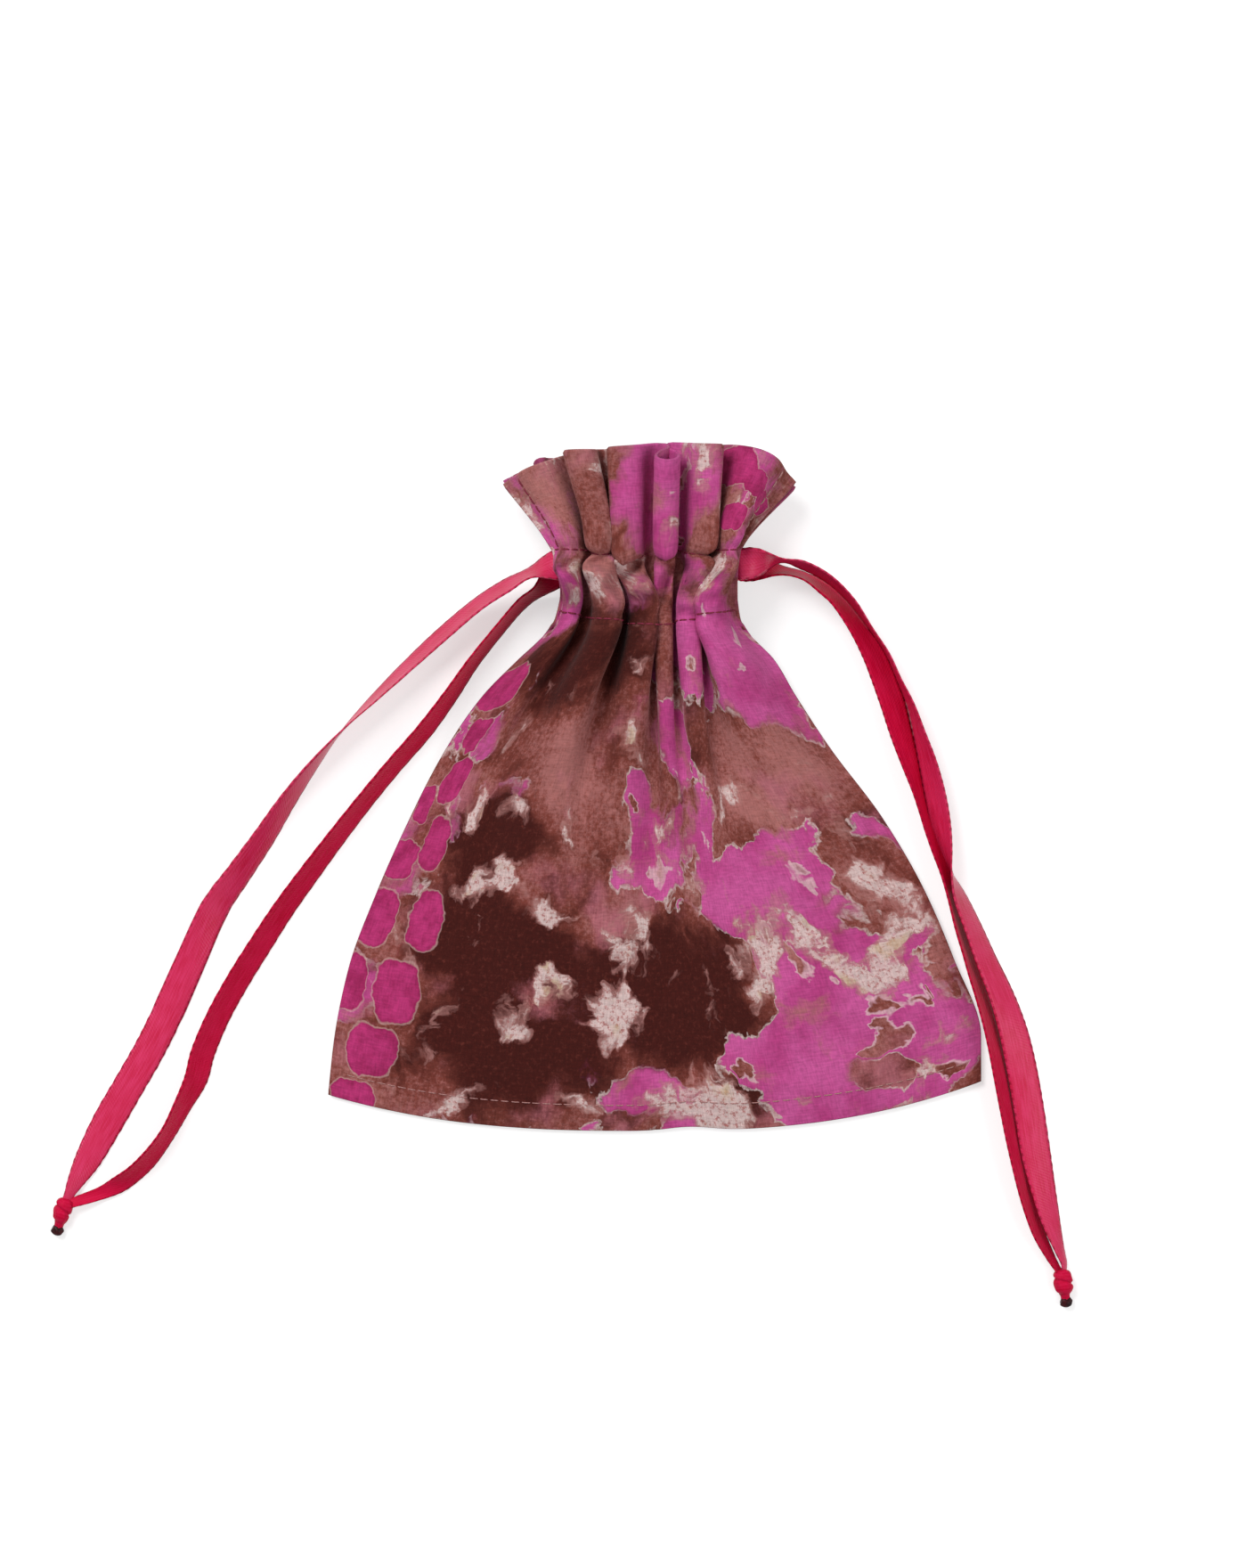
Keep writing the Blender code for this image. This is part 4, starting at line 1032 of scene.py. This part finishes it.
def band_piece(name, middles, widths, ups, material):
    """A flat ribbon: a closed band with a slight hollow across it and a corded edge."""
    lengths = run_along(middles)
    shares = np.linspace(-1, 1, ACROSS + 1)
    top = []
    under = []
    uv = []
    for i, middle in enumerate(middles):
        for share in shares:
            cup = 0.22 * (share * share - 0.4)
            thick = RIBBON * (0.62 if abs(share) > 0.99 else 0.5)
            picot = 1 + 0.02 * math.sin(lengths[i] * 2 * math.pi / PICOT_PITCH) * (abs(share) > 0.99)
            spot = middle + widths[i] * share * picot + ups[i] * cup
            top.append(spot + ups[i] * thick)
            under.append(spot - ups[i] * thick)
            uv.append((lengths[i] * MM, share * RIBBON_WIDTH / 2 * MM))
    faces = slab_faces(len(middles), ACROSS + 1, turn=1)
    return new_piece(name, top + under, faces, material, "Ribbon", uv + uv)


def strand_lines(name, side, sign, facing):
    """Middle line, half width vectors and face directions of a strand, from inside the casing to its knot."""
    slit_lift = NECK_MIDDLE + facing * LOOP_LEVEL[side] - 0.2
    deep_lift = NECK_MIDDLE + facing * HIDDEN_LEVEL[side] - 0.2
    lead = [(sign * (SLIT_X - LEAD), EXIT_Y - LANE, 0, deep_lift, BUNCHED),
            (sign * (SLIT_X - LEAD / 2), EXIT_Y - LANE, 0, deep_lift, BUNCHED),
            (sign * (SLIT_X - 4.5), EXIT_Y - LANE, 0, deep_lift * 0.9 + slit_lift * 0.1, BUNCHED),
            (sign * (SLIT_X + 0.3), EXIT_Y, 0, slit_lift, 1)]
    top, forward = KNOT_TOPS[side]
    seen = [point + USUAL[len(point) - 3:] for point in ROUTES[name]]
    tucked = (top[0] + TUCK * forward[0], top[1] + TUCK * forward[1], seen[-1][2], 1.0, 0.3)
    route = smooth(lead + seen + [tucked], PER_SPAN)
    flat = route[:, :2]
    ahead = unit(np.gradient(flat, axis=0))
    beside = np.stack([-ahead[:, 1], ahead[:, 0], np.zeros(len(ahead))], axis=1)
    turn = np.radians(route[:, 2])[:, None]
    up = np.array([0.0, 0.0, 1.0])
    half = (beside * np.cos(turn) + up * np.sin(turn)) * RIBBON_WIDTH / 2 * route[:, 4:5]
    out = up * np.cos(turn) - beside * np.sin(turn)
    height = np.maximum(route[:, 3], 0) + np.abs(half[:, 2]) + np.abs(out[:, 2]) * 0.2
    middles = np.concatenate([flat, height[:, None]], axis=1)
    return middles, half, out


def make_loop(side, sign):
    """The ribbon's run round the inside of the casing, deep in the gathers."""
    level = HIDDEN_LEVEL[side]
    far = -sign * (SLIT_X - 5.0)
    near = sign * (SLIT_X - LEAD + 0.5)
    shares = np.linspace(0, 1, 19)
    drops = LANE + LOOP_DROP * ease(shares, 0.22, 1.0)
    turns = np.linspace(math.pi / 2, -math.pi / 2, 9)
    front = [(near + (far - near) * t, EXIT_Y - drop, level) for t, drop in zip(shares, drops)]
    bend = [(far - sign * level * math.cos(a), EXIT_Y - drops[-1], level * math.sin(a)) for a in turns[1:-1]]
    back = [(x, y, -z) for x, y, z in reversed(front)]
    middles = np.array(front + bend + back) + np.array([0, 0, NECK_MIDDLE])
    along = unit(np.gradient(middles, axis=0))
    half = np.tile(np.array([0.0, RIBBON_WIDTH / 2 * BUNCHED, 0.0]), (len(middles), 1))
    out = unit(np.cross(along, half)) * 0.5
    return band_piece(side + "_ribbon_loop_band", middles, half, out, shaded_satin_back)


KNOT_LENGTH = 5.2
KNOT_WIDTH = 4.2
KNOT_HEIGHT = 3.8
TAIL_LENGTH = 1.7  # of the bunched ribbon between the knot and its melted end
TIP_LENGTH = 2.2
TIP_WIDTH = 2.8
KNOT_STEPS = 64
KNOT_SIDES = 36
KNOT_TURNS = 1.6
KNOT_PLACES = (0, 0.06, 0.2, 0.4, 0.6, 0.74, 0.84, 1)
KNOT_SHARES = {"left": (0.5, 0.74, 0.9, 0.92, 0.82, 0.66, 0.5, 0.46),
               "right": (0.5, 0.76, 0.94, 0.98, 0.94, 0.74, 0.5, 0.46)}


def knot_frame(side):
    """Where a knot starts, the way it points and the way across it."""
    top, forward = KNOT_TOPS[side]
    ahead = unit(np.array([forward[0], forward[1], 0.0]))
    return np.array([top[0], top[1], 0.0]), ahead, np.array([-ahead[1], ahead[0], 0.0])


def make_knot(side):
    """A knot pulled tight: the bunched ribbon wound round itself, tapering to a short tail."""
    begin, ahead, beside = knot_frame(side)
    length = KNOT_LENGTH + TAIL_LENGTH
    points = []
    uv = []
    for i in range(KNOT_STEPS + 1):
        place = i / KNOT_STEPS
        share = float(between(place, KNOT_PLACES, KNOT_SHARES[side]))
        wound = 1 - float(ease(place, 0.72, 0.86))
        level = KNOT_HEIGHT / 2 * (1 - 0.35 * float(ease(place, 0.6, 1.0)))
        for k in range(KNOT_SIDES):
            angle = 2 * math.pi * k / KNOT_SIDES
            turn = (KNOT_TURNS * place / 0.8 + k / KNOT_SIDES) % 1
            wrap = (1 - math.exp(-9 * turn)) * (1 - float(ease(turn, 0.8, 1.0)))
            crease = 1 + 0.04 * math.cos(7 * angle + 9 * place) + 0.03 * math.cos(13 * angle - 6 * place)
            size = share * (crease + wound * 0.26 * (wrap - 0.8))
            spot = begin + ahead * length * place + beside * (KNOT_WIDTH / 2 * size * math.cos(angle))
            points.append((spot[0], spot[1], level + KNOT_HEIGHT / 2 * size * math.sin(angle)))
            uv.append((turn * 0.012, (place - 0.5) * 0.005))
    faces = ring_faces(KNOT_STEPS + 1, KNOT_SIDES)
    return new_piece(side + "_knot_ribbon", points, faces, shaded_satin_back, "Ribbon", uv)


def make_tip(side):
    """The two cut ends, pinched together and melted to a bead."""
    begin, ahead, beside = knot_frame(side)
    begin = begin + ahead * (KNOT_LENGTH + TAIL_LENGTH - 0.5)
    lengths = np.linspace(0, 1, 16)
    wide = between(lengths, (0, 0.2, 0.45, 0.7, 0.9, 1), (0.7, 0.9, 1.0, 0.92, 0.66, 0.2))
    sides = 20
    points = []
    for i, length in enumerate(lengths):
        for k in range(sides):
            angle = 2 * math.pi * k / sides
            lump = 1 + 0.06 * math.sin(3 * angle + 7 * length) + 0.05 * math.sin(5 * angle - 11 * length)
            x = TIP_WIDTH / 2 * wide[i] * lump * math.cos(angle)
            z = TIP_WIDTH / 2 * 0.8 * wide[i] * lump * math.sin(angle)
            spot = begin + ahead * length * TIP_LENGTH + beside * x
            points.append((spot[0], spot[1], TIP_WIDTH / 2 * 0.9 + z))
    return new_piece(side + "_sealed_tip", points, ring_faces(len(lengths), sides), sealed)


for side, sign in SIDES:
    carrier = side + "_drawstring"
    loop = make_loop(side, sign)
    stand_for(loop, "satin_ribbon", carrier, side + "_ribbon_loop")
    knot = make_knot(side)
    stand_for(knot, "satin_ribbon", carrier, side + "_knot")
    tip = make_tip(side)
    stand_for(tip, "sealed_ribbon", carrier, side + "_sealed_end")
    for face, facing in (("front", 1), ("back", -1)):
        name = f"{side}_{face}_strand"
        middles, half, out = strand_lines(name, side, sign, facing)
        strand = band_piece(name + "_ribbon", middles, half, out, satin if face == "front" else shaded_satin_back)
        stand_for(strand, "satin_ribbon", carrier, name)
        line = middles[:-PER_SPAN] * MM


# Floor, light and camera

FLOOR_SIZE = 3.0  # in metres, as are the lights' and the camera's places
FLOOR_STEPS = 8
WHITE = (1.0, 1.0, 1.0, 1.0)
CENTRE = (0, 0, 0)


def make_floor():
    places = [FLOOR_SIZE * (i / FLOOR_STEPS - 0.5) / MM for i in range(FLOOR_STEPS + 1)]
    points = [(x, y, 0.0) for y in places for x in places]
    index = grid_index(FLOOR_STEPS + 1, FLOOR_STEPS + 1)[0]
    made, shader = new_material("white_floor")
    speck = noise(object_place(shader), 30.0)
    fill(shader, {"Base Color": blend(speck, (0.6, 0.6, 0.6, 1.0), (0.62, 0.62, 0.62, 1.0)), "Roughness": 0.9,
                  "Specular IOR Level": 0.1, "Emission Color": WHITE,
                  "Emission Strength": times(seen_directly(shader.id_data), 0.55)})
    new_piece("floor", points, grid_quads(index).tolist(), made)


def make_light(name, spot, aim, size, power):
    data = bpy.data.lights.new(name, "AREA")
    data.shape = "DISK"
    data.size = size
    data.energy = power
    lamp = bpy.data.objects.new(name, data)
    lamp.location = spot
    lamp.rotation_euler = (Vector(aim) - Vector(spot)).to_track_quat("-Z", "Y").to_euler()
    bpy.context.collection.objects.link(lamp)


make_floor()
make_light("key", (-0.55, 0.65, 0.95), CENTRE, 0.7, 11.5)
make_light("side_fill", (0.9, -0.2, 0.9), CENTRE, 0.8, 5.5)

world = bpy.data.worlds.new("studio")
world.use_nodes = True
bpy.context.scene.world = world
strength = scaled(seen_directly(world.node_tree), 0.64, 0.36)
fill(world.node_tree.nodes["Background"], {"Color": WHITE, "Strength": strength})

camera_data = bpy.data.cameras.new("camera")
camera_data.sensor_fit = "VERTICAL"
camera_data.sensor_height = 36.0
camera_data.lens = 102.3
camera = bpy.data.objects.new("camera", camera_data)
camera.location = (-0.0062, 0.0012, 1.0)
camera.rotation_euler = (0.0, 0.0, 0.0)
bpy.context.collection.objects.link(camera)
bpy.context.scene.camera = camera
bpy.context.scene.view_settings.view_transform = "Standard"
